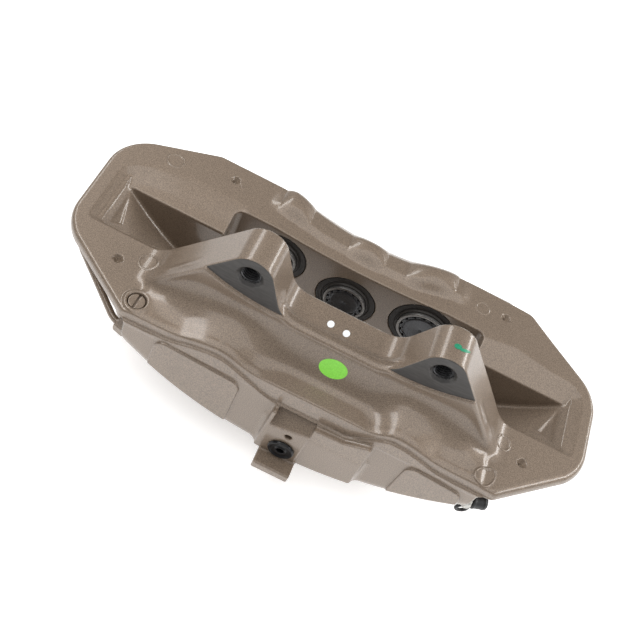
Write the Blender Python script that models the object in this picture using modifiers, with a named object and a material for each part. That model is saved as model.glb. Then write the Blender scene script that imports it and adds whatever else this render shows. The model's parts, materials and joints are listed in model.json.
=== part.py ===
"""Six-piston fixed brake caliper, built as separate pieces.

Metres, +Z up. The caliper lies on the flat of its back with the wheel axis above it.
X runs along the caliper, Y along the wheel axis with + outboard. All pieces hang on one
empty at the middle of the disc, level with the flat ends, so the sizes below are measured
from the disc plane (Y), the middle of the caliper (X) and the end flats (Z).
"""
import bpy
import bmesh
from math import acos
from math import atan2
from math import copysign
from math import cos
from math import pi
from math import radians
from math import sin
from math import sqrt
from math import tan
from mathutils import Matrix
from mathutils import Vector

# Fits
CLEARANCE = 0.0003
WELD = 0.000002

# Disc space and bridge, turned about the wheel axis
AXIS_RISE = 0.139
SLOT_RADIUS = 0.222
SLOT_WIDTH = 0.040
BRIDGE_THICKNESS = 0.016
BACK_FLAT_CUT = 0.005
SHOULDER_TAPER = 0.033
TAPER_WIDTH = 0.024
POCKET_STEP = 0.006

# Piston blocks
PAD_WALL = 0.041
BORE_DEPTH = 0.031
INBOARD_WALL = 0.006
OUTBOARD_WALL = 0.008
POCKET_HALF = 0.097
POCKET_CORNER = 0.005

# End flats
END_REACH = 0.190
FLANGE_THICKNESS = 0.008
INBOARD_LEFT_X = 0.1255
INBOARD_RIGHT_X = 0.133
INBOARD_END_Y = 0.0315
OUTBOARD_LEFT_X = 0.125
LEFT_END_Y = 0.0495
OUTBOARD_RIGHT_X = 0.1275
RIGHT_END_Y = 0.036
END_ROUND = 0.035
FACE_ROUND = 0.012
CORE_INSET = 0.0175
WINDOW_END_GAP = 0.012
WINDOW_END_RUN = 0.0043
WINDOW_END_DROP = 0.0032
RAMP_DROP = 0.005
RAMP_WIDTH = 0.023
RAMP_MARGIN = 0.001

# Rail, lugs and the flank below them
LUG_SPACING = 0.130
LUG_RISE = 0.0495
LUG_RADIUS = 0.0155
LUG_FACE = 0.0475
LUG_THREAD = 0.0124
LUG_COUNTERSINK = 0.0025
LUG_FOOT = 0.027
ARM_FOOT = 0.124
RAIL_RISE = 0.027
RAIL_HEADROOM = 0.0044
RAIL_FILLET = 0.009
FLANK_TOP = 0.014
FLANK_FLOOR = -0.008
FLANK_REACH = 0.121
FLANK_ROUND = 0.0095
FLANK_EDGE = 0.008
FLANK_LEDGE = 0.0015
HILL_RISE = 0.0175
HILL_X = 0.060
HILL_WIDTH = 0.062
FLANK_END_RISE = 0.0084
FLANK_END_RUN = 0.035
FLANK_CURVE = 1.8
FLANK_STEPS = (30, 8)

# Pistons, their inserts, boots and seals
PISTON_PITCH = 0.058
PISTON_ARC = 0.176
LEFT_PISTON = 0.030
MID_PISTON = 0.032
RIGHT_PISTON = 0.036
PISTON_LENGTH = 0.030
PISTON_PROUD = 0.003
PISTON_FLOOR = 0.005
PISTON_WALL = 0.0045
MOUTH_WALL = 0.0022
INSERT_THICKNESS = 0.005
INSERT_NOTCHES = 14
NOTCH_DEPTH = 0.0016
BOOT_WIDTH = 0.0065
BOOT_RECESS = 0.0045
BOOT_LIP = 0.0016
BOOT_BEAD = 0.0022
SEAL_SETBACK = 0.010
SEAL_WIDTH = 0.003
SEAL_HEIGHT = 0.0026

# Outboard half: lip, riser, ridge between the bosses, face panel
LIP_WIDTH = 0.0075
LIP_REACH = 0.066
LIP_SAG = 0.0035
RIDGE_RISE = 0.0022
RIDGE_LIFT = 0.0025
RIDGE_REACH = 0.077
RIDGE_SETBACK = 0.001
RIDGE_STEP = 0.0005
RIDGE_RUNOUT = 0.011
RIDGE_STATIONS = 36
DISH_SAG = 0.0145
BUMP_RISE = 0.0028
BUMP_FLANK = 0.007
LEFT_BUMP = (-0.0755, -0.0485)
MID_BUMP = (-0.016, 0.019)
RIGHT_BUMP = (0.033, 0.068)
PANEL_PROUD = 0.004
PANEL_DROP = 0.005
PANEL_HEIGHT = 0.052
PANEL_END_MARGIN = 0.006
PANEL_ROUND = 0.012

# Inboard face: raised pads and inlet block
FACE_PAD_PROUD = 0.0012
FACE_PAD_TOP = 0.0105
FACE_PAD_FOOT = 0.075
LEFT_FACE_PAD = (-0.101, -0.042)
RIGHT_FACE_PAD = (0.076, 0.118)
FACE_PAD_ROUND = 0.009
BLOCK_PROUD = 0.005
BLOCK_LEFT = 0.015
BLOCK_RIGHT = 0.056
BLOCK_TOP = 0.016
BLOCK_SLOPE = 0.010
BLOCK_FOOT = 0.080
INLET_X = 0.002
INLET_DROP = 0.0545
INLET_BORE = 0.010
INLET_DEPTH = 0.009
INLET_PIN_RISE = 0.0165
INLET_PIN_BORE = 0.005
INLET_PIN_DEPTH = 0.005
PLUG_FLANGE = 0.0185
PLUG_FLANGE_THICKNESS = 0.0022
PLUG_RECESS = 0.006
TAB_LEFT = 0.012
TAB_RIGHT = 0.0155
TAB_REACH = 0.013
TAB_THICKNESS = 0.008
TAB_GAP = 0.001

# Back windows and the bridge between them
BRIDGE_HALF = 0.013
WINDOW_REACH = 0.090
WINDOW_HALF = 0.036
WINDOW_ROUND = 0.010

# Fluid ports in the block ends, crossover pipe and bleed screws
PORT_INSET = 0.010
PORT_DROP = 0.030
PORT_SETBACK = 0.0015
BLEED_SETBACK = 0.0068
PORT_LEAN = 20
PORT_BORE = 0.008
PORT_DEPTH = 0.007
PIPE_RADIUS = 0.0024
PIPE_BEND = 0.018
PIPE_END_GAP = 0.010
PIPE_TURN_Y = 0.0232
PIPE_LEAD = 0.013
NUT_ACROSS = 0.010
NUT_LENGTH = 0.009
HEX_LENGTH = 0.005
NIPPLE_RADIUS = 0.0032
NIPPLE_LENGTH = 0.0095
CAP_WALL = 0.0016
CAP_LENGTH = 0.0108
STRAP_RADIUS = 0.0040
STRAP_THICKNESS = 0.0012
STRAP_DROP = 0.0125

# Gallery plug in the left inboard corner
GALLERY_X = 0.122
GALLERY_INSET = 0.012
GALLERY_BOSS = 0.017
GALLERY_RISE = 0.0015
GALLERY_BORE = 0.0116
GALLERY_DEPTH = 0.006
GALLERY_SLOT = 0.0016

# Facets
ROUND = 24
SMALL_ROUND = 16
DRUM = 96

OUTER_RADIUS = SLOT_RADIUS + BRIDGE_THICKNESS
REST_DEPTH = OUTER_RADIUS - AXIS_RISE - BACK_FLAT_CUT
SLOT_HALF = SLOT_WIDTH / 2
INBOARD_FACE = PAD_WALL + BORE_DEPTH + INBOARD_WALL
OUTBOARD_FACE = PAD_WALL + BORE_DEPTH + OUTBOARD_WALL
PANEL_FACE = OUTBOARD_FACE + PANEL_PROUD
SEAT_FACE = INBOARD_FACE + BLOCK_PROUD
TAB_FACE = SEAT_FACE + TAB_REACH
CORE_END = END_REACH - CORE_INSET
RAMP_REACH = CORE_END - RAMP_MARGIN
LUG_X = LUG_SPACING / 2
RISER_Y = PAD_WALL + LIP_WIDTH
DISC_PLANE_Y = (TAB_FACE - PANEL_FACE) / 2
REACH = 2 * END_REACH
AXIS_Y = Vector((0, 1, 0))
AXIS_Z = Vector((0, 0, 1))

PLANES = {
    "XY": Matrix.Identity(4),
    "XZ": Matrix.Rotation(radians(90), 4, "X"),
    "YZ": Matrix(((0, 0, 1, 0), (1, 0, 0, 0), (0, 1, 0, 0), (0, 0, 0, 1))),
}
PISTONS = (
    ("left", -PISTON_PITCH, LEFT_PISTON),
    ("mid", 0.0, MID_PISTON),
    ("right", PISTON_PITCH, RIGHT_PISTON),
)
SIDES = (("outboard", 1), ("inboard", -1))


def clear_scene():
    for item in list(bpy.data.objects):
        bpy.data.objects.remove(item, do_unlink=True)


def make_collection(name):
    group = bpy.data.collections.new(name)
    bpy.context.scene.collection.children.link(group)
    return group


def finish(name, colour, roughness, metallic):
    """A Principled material for one piece."""
    material = bpy.data.materials.new(name)
    material.use_nodes = True
    shader = material.node_tree.nodes["Principled BSDF"]
    shader.inputs["Base Color"].default_value = (*colour, 1.0)
    shader.inputs["Roughness"].default_value = roughness
    shader.inputs["Metallic"].default_value = metallic
    return material


clear_scene()
PARTS = make_collection("six_piston_caliper")
CUTTERS = make_collection("caliper_cutters")
FRAME = bpy.data.objects.new("disc_centre", None)
PARTS.objects.link(FRAME)
FRAME.location = (0, DISC_PLANE_Y, REST_DEPTH)


def place(mesh, name, at=(0, 0, 0), group=None, material=None):
    """Put a mesh in the assembly, as a part or, with no material, as a cutter."""
    item = bpy.data.objects.new(name, mesh)
    (group or CUTTERS).objects.link(item)
    item.parent = FRAME
    item.location = at
    if material:
        mesh.materials.clear()
        mesh.materials.append(material)
        mesh.shade_smooth()
        mesh.set_sharp_from_angle(angle=radians(35))
    else:
        item.hide_render = True
        item.display_type = "WIRE"
    return item


def baked(source, matrix):
    """The evaluated mesh of a scratch object, welded and turned outwards."""
    bpy.context.scene.collection.objects.link(source)
    graph = bpy.context.evaluated_depsgraph_get()
    mesh = bpy.data.meshes.new_from_object(source.evaluated_get(graph))
    bpy.data.objects.remove(source, do_unlink=True)
    work = bmesh.new()
    work.from_mesh(mesh)
    bmesh.ops.remove_doubles(work, verts=work.verts, dist=WELD)
    bmesh.ops.transform(work, matrix=matrix, verts=work.verts)
    bmesh.ops.recalc_face_normals(work, faces=work.faces)
    work.to_mesh(mesh)
    work.free()
    return mesh


def slab(outline, low, high, plane="XY"):
    """A flat outline with thickness: drawn in a plane, extruded along the axis left over."""
    curve = bpy.data.curves.new("outline", "CURVE")
    curve.dimensions = "2D"
    curve.fill_mode = "BOTH"
    curve.extrude = (high - low) / 2
    spline = curve.splines.new("POLY")
    spline.points.add(len(outline) - 1)
    for point, (u, v) in zip(spline.points, outline):
        point.co = (u, v, 0, 1)
    spline.use_cyclic_u = True
    middle = (low + high) / 2
    if plane == "XZ":
        middle = -middle
    lift = Matrix.Translation((0, 0, middle))
    return baked(bpy.data.objects.new("outline", curve), PLANES[plane] @ lift)


def turned(profile, steps, axis=AXIS_Z, closed=False):
    """A profile of (radius, height) points spun about an axis."""
    mesh = bpy.data.meshes.new("profile")
    count = len(profile)
    edges = [(i, i + 1) for i in range(count - 1)]
    if closed:
        edges.append((count - 1, 0))
    mesh.from_pydata([(r, 0, h) for r, h in profile], edges, [])
    source = bpy.data.objects.new("profile", mesh)
    screw = source.modifiers.new("spin", "SCREW")
    screw.axis = "Z"
    screw.steps = steps
    screw.render_steps = steps
    screw.use_merge_vertices = True
    screw.merge_threshold = WELD
    turn = AXIS_Z.rotation_difference(Vector(axis)).to_matrix().to_4x4()
    return baked(source, turn)


def rod(radius, low, high, steps, axis=AXIS_Z):
    """A plain cylinder or hexagon between two stations on an axis."""
    work = bmesh.new()
    middle = Matrix.Translation((0, 0, (low + high) / 2))
    turn = AXIS_Z.rotation_difference(Vector(axis)).to_matrix().to_4x4()
    bmesh.ops.create_cone(
        work, cap_ends=True, segments=steps, radius1=radius, radius2=radius,
        depth=high - low, matrix=turn @ middle)
    mesh = bpy.data.meshes.new("rod")
    work.to_mesh(mesh)
    work.free()
    return mesh


def block(low, high):
    """A box between two corners."""
    work = bmesh.new()
    size = Vector(high) - Vector(low)
    middle = (Vector(high) + Vector(low)) / 2
    stretch = Matrix.Diagonal((*size, 1))
    bmesh.ops.create_cube(work, size=1, matrix=Matrix.Translation(middle) @ stretch)
    mesh = bpy.data.meshes.new("block")
    work.to_mesh(mesh)
    work.free()
    return mesh


def loft(first, first_y, second, second_y):
    """A solid between two sections of (x, z) points that stand square to the wheel axis."""
    work = bmesh.new()
    rims = []
    for outline, y in ((first, first_y), (second, second_y)):
        points = [work.verts.new((x, y, z)) for x, z in outline]
        work.faces.new(points)
        rims += [work.edges.get(pair) for pair in zip(points, points[1:] + points[:1])]
    bmesh.ops.bridge_loops(work, edges=rims)
    bmesh.ops.recalc_face_normals(work, faces=work.faces)
    mesh = bpy.data.meshes.new("loft")
    work.to_mesh(mesh)
    work.free()
    return mesh


def combine(target, tool, operation):
    step = target.modifiers.new(operation.lower(), "BOOLEAN")
    step.operation = operation
    step.solver = "EXACT"
    step.object = tool


def add(target, mesh, name, at=(0, 0, 0)):
    combine(target, place(mesh, name, at), "UNION")


def cut(target, mesh, name, at=(0, 0, 0)):
    combine(target, place(mesh, name, at), "DIFFERENCE")


def keep(target, mesh, name, at=(0, 0, 0)):
    combine(target, place(mesh, name, at), "INTERSECT")


def rounded(corners, steps=4):
    """An outline of (x, y, radius) corners, with an arc at each corner that has a radius."""
    outline = []
    for i, (x, y, radius) in enumerate(corners):
        here = Vector((x, y))
        before = (Vector(corners[i - 1][:2]) - here).normalized()
        after = (Vector(corners[(i + 1) % len(corners)][:2]) - here).normalized()
        if radius == 0:
            outline.append((x, y))
            continue
        half = acos(max(-1, min(1, before.dot(after)))) / 2
        start = here + before * (radius / tan(half))
        centre = here + (before + after).normalized() * (radius / sin(half))
        first = start - centre
        last = here + after * (radius / tan(half)) - centre
        sweep = atan2(first.x * last.y - first.y * last.x, first.dot(last))
        for k in range(steps + 1):
            turn = Matrix.Rotation(sweep * k / steps, 2)
            outline.append(tuple(centre + turn @ first))
    return outline


def arc(centre, radius, start, end, steps):
    """Points on a circle between two angles."""
    angles = [start + (end - start) * k / steps for k in range(steps + 1)]
    return [(centre[0] + radius * cos(a), centre[1] + radius * sin(a)) for a in angles]


def tangent_angle(point, centre, radius, side):
    """Angle, seen from a circle's centre, where the line from a point touches it."""
    offset = Vector(point) - Vector(centre)
    return atan2(offset.y, offset.x) + side * acos(radius / offset.length)


def drum(radii, axis_rise=AXIS_RISE):
    """A disc about the wheel axis from (radius, y) stations, as one turned solid."""
    profile = [(0, radii[0][1]), *radii, (0, radii[-1][1])]
    mesh = turned(profile, DRUM, AXIS_Y)
    mesh.transform(Matrix.Translation((0, 0, axis_rise)))
    return mesh


def piston_z(x):
    """Height of a piston's axis on the arc of the pad's middle."""
    return AXIS_RISE - sqrt(PISTON_ARC ** 2 - x ** 2)


def rail_underside():
    """Height of the rail's underside, clear of the highest boot."""
    tops = [piston_z(x) + bore / 2 + BOOT_WIDTH + CLEARANCE for name, x, bore in PISTONS]
    return max(tops) + RAIL_HEADROOM


def soft_step(t):
    """Zero below 0, one above 1, with a smooth S between."""
    t = max(0, min(1, t))
    return t * t * (3 - 2 * t)


def end_step(corner, flange_end, lean, setback):
    """Plan of one block end below the flange: seat for a port, then a wall set back."""
    corner = Vector(corner)
    chamfer = (Vector(flange_end) - corner).normalized()
    turn = -radians(lean) if chamfer.x * chamfer.y > 0 else radians(lean)
    along = Matrix.Rotation(turn, 2) @ chamfer
    inward = Vector((-along.y, along.x))
    if inward.dot(corner) > 0:
        inward = -inward
    foot = corner - along * setback
    outer = foot + inward * ((corner.y - foot.y) / inward.y)
    inner = foot + inward * CORE_INSET
    wall_end = inner + chamfer * ((CORE_END - abs(inner.x)) / abs(chamfer.x))
    seat = foot + inward * PORT_INSET
    return {"outer": outer, "inner": inner, "wall_end": wall_end, "seat": seat, "along": along}


CORNERS = {
    "inboard_left": ((-INBOARD_LEFT_X, -INBOARD_FACE), (-END_REACH, -INBOARD_END_Y)),
    "inboard_right": ((INBOARD_RIGHT_X, -INBOARD_FACE), (END_REACH, -INBOARD_END_Y)),
    "outboard_right": ((OUTBOARD_RIGHT_X, OUTBOARD_FACE), (END_REACH, RIGHT_END_Y)),
    "outboard_left": ((-OUTBOARD_LEFT_X, OUTBOARD_FACE), (-END_REACH, LEFT_END_Y)),
}
PORTS = {
    "inboard_left": (PORT_LEAN, PORT_SETBACK),
    "inboard_right": (PORT_LEAN, BLEED_SETBACK),
    "outboard_right": (PORT_LEAN, PORT_SETBACK),
    "outboard_left": (0, PORT_SETBACK),
}
STEPS = {name: end_step(*pair, *PORTS[name]) for name, pair in CORNERS.items()}
ROUND_TRIP = ("inboard_left", "inboard_right", "outboard_right", "outboard_left")
END_FIRST = ("inboard_left", "outboard_right")


def flange_outline():
    """Plan of the flat ends: four chamfered corners, seen from the wheel axis."""
    corners = []
    for name in ROUND_TRIP:
        (face_x, face_y), end_corner = CORNERS[name]
        inset = copysign(CLEARANCE, face_y)
        pair = [(face_x, face_y - inset, FACE_ROUND), (*end_corner, END_ROUND)]
        corners += reversed(pair) if name in END_FIRST else pair
    return rounded(corners)


def core_outline():
    """Plan below the flange: blocks at full width, ends set back for pipe and bleed screws."""
    order = {
        "inboard_left": ("wall_end", "inner", "outer"),
        "inboard_right": ("outer", "inner", "wall_end"),
        "outboard_right": ("wall_end", "inner", "outer"),
        "outboard_left": ("outer", "inner", "wall_end"),
    }
    return [tuple(STEPS[name][key]) for name in ROUND_TRIP for key in order[name]]


def sunk_foot(top, foot):
    """A sloped flank's foot, carried on below the end flats into the flange."""
    top = Vector(top)
    foot = Vector(foot)
    return tuple(foot + (foot - top) * (FLANGE_THICKNESS / 2) / (top.y - foot.y))


def lug_outline():
    """Front view of arms, lugs and rail: straight flanks tangent to the round bosses."""
    boss = (LUG_X, LUG_RISE)
    foot = (ARM_FOOT, 0)
    inner_foot = (LUG_X - LUG_FOOT, RAIL_RISE)
    outer = tangent_angle(foot, boss, LUG_RADIUS, 1)
    inner = tangent_angle(inner_foot, boss, LUG_RADIUS, -1)
    if inner < outer:
        inner += 2 * pi
    crown = arc(boss, LUG_RADIUS, outer, inner, 10)
    right = [sunk_foot(crown[0], foot)] + crown
    right += rounded([(*crown[-1], 0), (*inner_foot, RAIL_FILLET), (0, RAIL_RISE, 0)])[1:-1]
    left = [(-x, z) for x, z in reversed(right)]
    return right + left


def flank_height(x, y):
    """Top of the flank: a shelf that swells over the outer bores and rises to the rail."""
    swell = FLANK_FLOOR + FLANK_END_RISE * soft_step((abs(x) - FLANK_REACH) / FLANK_END_RUN + 1)
    away = min(1, abs(abs(x) - HILL_X) / HILL_WIDTH)
    swell += HILL_RISE * (1 - away ** 2) ** 2
    shelf = FLANK_EDGE - INBOARD_FACE
    if y < shelf:
        return swell - FLANK_ROUND + sqrt(FLANK_ROUND ** 2 - (shelf - y) ** 2)
    rise = ((y - shelf) / (-LUG_FACE - shelf)) ** FLANK_CURVE
    crown = min(FLANK_TOP, swell + FLANK_REACH - abs(x))
    return swell + max(0, crown - swell) * rise


def above_surface(height, low, high, steps):
    """Everything above a surface over a rectangle: a grid lifted to its heights, then extruded up."""
    work = bmesh.new()
    bmesh.ops.create_grid(work, x_segments=steps[0], y_segments=steps[1], size=0.5)
    for vert in work.verts:
        x = low[0] + (high[0] - low[0]) * (vert.co.x + 0.5)
        y = low[1] + (high[1] - low[1]) * (vert.co.y + 0.5)
        vert.co = (x, y, height(x, y))
    lifted = bmesh.ops.extrude_face_region(work, geom=work.faces[:])
    for item in lifted["geom"]:
        if isinstance(item, bmesh.types.BMVert):
            item.co.z = REACH
    bmesh.ops.recalc_face_normals(work, faces=work.faces)
    mesh = bpy.data.meshes.new("above")
    work.to_mesh(mesh)
    work.free()
    return mesh


def pocket_outline(top):
    """Front view of the pad pocket: a floor on an arc about the wheel axis, straight ends."""
    radius = SLOT_RADIUS - POCKET_STEP
    half = acos(POCKET_HALF / radius)
    floor = arc((0, AXIS_RISE), radius, half - pi, -half, 14)
    return floor + [(POCKET_HALF, top), (-POCKET_HALF, top)]


def shape_blocks(body):
    """Union of the core, the faces' raised forms and the flank, trimmed by the turned back."""
    add(body, slab(flange_outline(), -FLANGE_THICKNESS, 0), "flange")
    panel = rounded([
        (-OUTBOARD_LEFT_X + PANEL_END_MARGIN, -PANEL_DROP - PANEL_HEIGHT, PANEL_ROUND),
        (OUTBOARD_RIGHT_X - PANEL_END_MARGIN, -PANEL_DROP - PANEL_HEIGHT, PANEL_ROUND),
        (OUTBOARD_RIGHT_X - PANEL_END_MARGIN, -PANEL_DROP, PANEL_ROUND),
        (-OUTBOARD_LEFT_X + PANEL_END_MARGIN, -PANEL_DROP, PANEL_ROUND)], 3)
    add(body, slab(panel, OUTBOARD_FACE - PANEL_PROUD, PANEL_FACE, "XZ"), "face_panel")
    for side, (left, right) in (("left", LEFT_FACE_PAD), ("right", RIGHT_FACE_PAD)):
        pad = rounded([
            (left, -FACE_PAD_FOOT, 0), (right, -FACE_PAD_FOOT, 0),
            (right, -FACE_PAD_TOP, FACE_PAD_ROUND), (left, -FACE_PAD_TOP, FACE_PAD_ROUND)], 3)
        low = -INBOARD_FACE - FACE_PAD_PROUD
        add(body, slab(pad, low, low + 2 * FACE_PAD_PROUD, "XZ"), "face_pad_" + side)
    inlet = [
        (-BLOCK_LEFT, -BLOCK_FOOT), (BLOCK_RIGHT, -BLOCK_FOOT), (BLOCK_RIGHT, BLOCK_SLOPE - BLOCK_TOP),
        (INLET_X, -BLOCK_TOP), (-BLOCK_LEFT, -BLOCK_TOP)]
    add(body, slab(inlet, -SEAT_FACE, -INBOARD_FACE + BLOCK_PROUD, "XZ"), "inlet_block")
    low = (-FLANK_REACH, 2 * CLEARANCE - INBOARD_FACE, -FLANGE_THICKNESS / 2)
    add(body, block(low, (FLANK_REACH, FLANK_LEDGE - LUG_FACE, FLANK_TOP)), "flank")


def shape_turned_back(body):
    """The outside of the bridge and the tapers beside it, turned about the wheel axis."""
    shoulder = OUTER_RADIUS - SHOULDER_TAPER
    keep(body, drum([
        (shoulder, SEAT_FACE + REACH), (shoulder, OUTBOARD_FACE),
        (OUTER_RADIUS, OUTBOARD_FACE - TAPER_WIDTH), (OUTER_RADIUS, TAPER_WIDTH - INBOARD_FACE),
        (shoulder, -INBOARD_FACE), (shoulder, -SEAT_FACE - REACH)]), "turned_back")
    low = (-REACH, -REACH, -REACH)
    cut(body, block(low, (REACH, REACH, -REST_DEPTH)), "back_flat")


def shape_inboard_top(body):
    """Swelling flank below the lugs, then rail, arms and lugs."""
    low = (-FLANK_REACH - CLEARANCE, -INBOARD_FACE - CLEARANCE)
    high = (FLANK_REACH + CLEARANCE, FLANK_LEDGE - LUG_FACE + CLEARANCE)
    cut(body, above_surface(flank_height, low, high, FLANK_STEPS), "above_flank")
    add(body, slab(lug_outline(), -LUG_FACE, 0, "XZ"), "lugs_and_rail")


def crest_height(x, fall):
    """Ridge height at a station: a dish that deepens outboard, with a bump over each bore."""
    bow = min(abs(x) / LIP_REACH, 1) ** 2
    front = RIDGE_RISE + RIDGE_LIFT * bow
    back = RIDGE_STEP - DISH_SAG * (1 - bow)
    height = front + (back - front) * fall
    for low, high in (LEFT_BUMP, MID_BUMP, RIGHT_BUMP):
        height += BUMP_RISE * soft_step(min(x - low, high - x) / BUMP_FLANK)
    fade = soft_step((RIDGE_REACH - abs(x)) / RIDGE_RUNOUT)
    return RIDGE_STEP + (height - RIDGE_STEP) * fade


def crest_section(fall):
    """Everything above the ridge at one place between riser (0) and outboard face (1)."""
    reach = RIDGE_REACH + RIDGE_SETBACK
    stations = [reach * (2 * k / RIDGE_STATIONS - 1) for k in range(RIDGE_STATIONS + 1)]
    return [(x, crest_height(x, fall)) for x in stations] + [(reach, REACH), (-reach, REACH)]


def shape_outboard_top(body):
    """Dished lip of the pad opening, then the dished ridge with its three bumps."""
    front = RISER_Y + RIDGE_SETBACK
    low = (-RIDGE_REACH, front, -FLANGE_THICKNESS / 2)
    high = (RIDGE_REACH, OUTBOARD_FACE - RIDGE_SETBACK, RIDGE_RISE + RIDGE_LIFT + 2 * BUMP_RISE)
    add(body, block(low, high), "ridge")
    depth = OUTBOARD_FACE - front
    over = (PANEL_PROUD + RIDGE_SETBACK) / depth
    before = RIDGE_SETBACK / depth
    crest = loft(
        crest_section(-before), front - RIDGE_SETBACK,
        crest_section(1 + over), OUTBOARD_FACE + PANEL_PROUD + RIDGE_SETBACK)
    cut(body, crest, "ridge_crest")
    radius = (LIP_REACH ** 2 + LIP_SAG ** 2) / (2 * LIP_SAG)
    half = acos((radius - LIP_SAG) / radius)
    dish = arc((0, radius - LIP_SAG), radius, -pi / 2 - half, -pi / 2 + half, 12)
    dish += [(LIP_REACH, REACH), (-LIP_REACH, REACH)]
    cut(body, slab(dish, PAD_WALL - LIP_WIDTH, RISER_Y, "XZ"), "lip_dish")


def open_disc_space(body):
    """Disc slot, pad pocket, ramps beside the end windows and the windows in the back."""
    cut(body, drum([(SLOT_RADIUS, SLOT_HALF), (SLOT_RADIUS, -SLOT_HALF)]), "disc_slot")
    cut(body, slab(pocket_outline(RAIL_RISE), 0, PAD_WALL, "XZ"), "pad_pocket_outboard")
    cut(body, slab(pocket_outline(rail_underside()), -PAD_WALL, 0, "XZ"), "pad_pocket_inboard")
    ramp = [
        (SLOT_HALF - CLEARANCE, RAMP_DROP), (SLOT_HALF - CLEARANCE, -RAMP_DROP),
        (SLOT_HALF, -RAMP_DROP), (SLOT_HALF + 2 * RAMP_WIDTH, RAMP_DROP)]
    start = POCKET_HALF - POCKET_CORNER
    for name, low, high in (("left", -RAMP_REACH, -start), ("right", start, RAMP_REACH)):
        cut(body, slab(ramp, low, high, "YZ"), "window_ramp_" + name)
    for name, side in (("left", -1), ("right", 1)):
        top = END_REACH - WINDOW_END_GAP
        chamfer = [
            (top - 3 * WINDOW_END_RUN, WINDOW_END_DROP), (top - 3 * WINDOW_END_RUN, -WINDOW_END_DROP),
            (top - WINDOW_END_RUN, -WINDOW_END_DROP), (top + WINDOW_END_RUN, WINDOW_END_DROP)]
        chamfer = [(side * x, z) for x, z in chamfer[::side]]
        half = SLOT_HALF - 2 * CLEARANCE
        cut(body, slab(chamfer, -half, half, "XZ"), "window_end_" + name)
        ends = sorted((side * BRIDGE_HALF, side * WINDOW_REACH))
        window = rounded([
            (ends[0], -WINDOW_HALF, WINDOW_ROUND), (ends[1], -WINDOW_HALF, WINDOW_ROUND),
            (ends[1], WINDOW_HALF, WINDOW_ROUND), (ends[0], WINDOW_HALF, WINDOW_ROUND)], 3)
        cut(body, slab(window, -REACH, 0), "back_window_" + name)


def bore_cylinders(body):
    """Six bores, each with a recess for the boot and a groove for the seal."""
    for side, sign in SIDES:
        for name, x, bore in PISTONS:
            radius = bore / 2 + CLEARANCE
            groove = radius + SEAL_HEIGHT + CLEARANCE
            near = SEAL_SETBACK - CLEARANCE
            far = SEAL_SETBACK + SEAL_WIDTH + CLEARANCE
            profile = [
                (0, -CLEARANCE), (radius + BOOT_WIDTH, -CLEARANCE), (radius + BOOT_WIDTH, BOOT_RECESS),
                (radius, BOOT_RECESS), (radius, near), (groove, near), (groove, far), (radius, far),
                (radius, BORE_DEPTH), (0, BORE_DEPTH)]
            at = (x, sign * PAD_WALL, piston_z(x))
            cut(body, turned(profile, ROUND, sign * AXIS_Y), "bore_" + side + "_" + name, at)


def drill_ports(body):
    """Lug threads, inlet with its tab, fluid ports in the block ends and the gallery hole."""
    radius = LUG_THREAD / 2
    wide = radius + LUG_COUNTERSINK
    thread = [
        (0, CLEARANCE), (wide + CLEARANCE, CLEARANCE), (radius, -LUG_COUNTERSINK),
        (radius, SLOT_HALF - LUG_FACE - CLEARANCE), (0, SLOT_HALF - LUG_FACE - CLEARANCE)]
    for name, side in (("left", -1), ("right", 1)):
        at = (side * LUG_X, -LUG_FACE, LUG_RISE)
        cut(body, turned(thread, ROUND, -AXIS_Y), "lug_thread_" + name, at)
    tab_top = -INLET_DROP - PLUG_FLANGE / 2 - TAB_GAP
    tab_low = (-TAB_LEFT, -TAB_FACE, tab_top - TAB_THICKNESS)
    add(body, block(tab_low, (TAB_RIGHT, -SEAT_FACE + BLOCK_PROUD, tab_top)), "inlet_tab")
    inlet = rod(INLET_BORE / 2, -INLET_DEPTH, CLEARANCE, SMALL_ROUND, -AXIS_Y)
    cut(body, inlet, "inlet_bore", (INLET_X, -SEAT_FACE, -INLET_DROP))
    pin = rod(INLET_PIN_BORE / 2, -INLET_PIN_DEPTH, CLEARANCE, SMALL_ROUND, -AXIS_Y)
    cut(body, pin, "inlet_pin_hole", (INLET_X, -SEAT_FACE, INLET_PIN_RISE - INLET_DROP))
    for name in ROUND_TRIP:
        seat = STEPS[name]["seat"]
        along = STEPS[name]["along"]
        port = rod(PORT_BORE / 2, -PORT_DEPTH, CLEARANCE, SMALL_ROUND, (*along, 0))
        cut(body, port, "port_" + name, (*seat, -PORT_DROP))
    at = (-GALLERY_X, GALLERY_INSET - INBOARD_FACE, 0)
    add(body, rod(GALLERY_BOSS / 2, -FLANGE_THICKNESS / 2, GALLERY_RISE, ROUND), "gallery_boss", at)
    cut(body, rod(GALLERY_BORE / 2, -GALLERY_DEPTH, GALLERY_RISE + CLEARANCE, ROUND), "gallery_bore", at)


def build_body():
    paint = finish("bronze_paint", (0.26, 0.205, 0.155), 0.35, 0.6)
    mesh = slab(core_outline(), -REST_DEPTH - 3 * BACK_FLAT_CUT, -FLANGE_THICKNESS / 2)
    body = place(mesh, "caliper_body", group=PARTS, material=paint)
    shape_blocks(body)
    shape_turned_back(body)
    shape_inboard_top(body)
    shape_outboard_top(body)
    open_disc_space(body)
    bore_cylinders(body)
    drill_ports(body)
    return body


def piston_profile(bore):
    """Cup open to the pad, with a stepped mouth for the insert. Height runs into the bore."""
    radius = bore / 2
    front = -PISTON_PROUD
    back = front + PISTON_LENGTH
    mouth = radius - MOUTH_WALL
    inner = radius - PISTON_WALL
    shelf = front + INSERT_THICKNESS
    return [
        (0, back - PISTON_FLOOR), (inner, back - PISTON_FLOOR), (inner, shelf), (mouth, shelf),
        (mouth, front), (radius, front), (radius, back), (0, back)]


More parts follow.
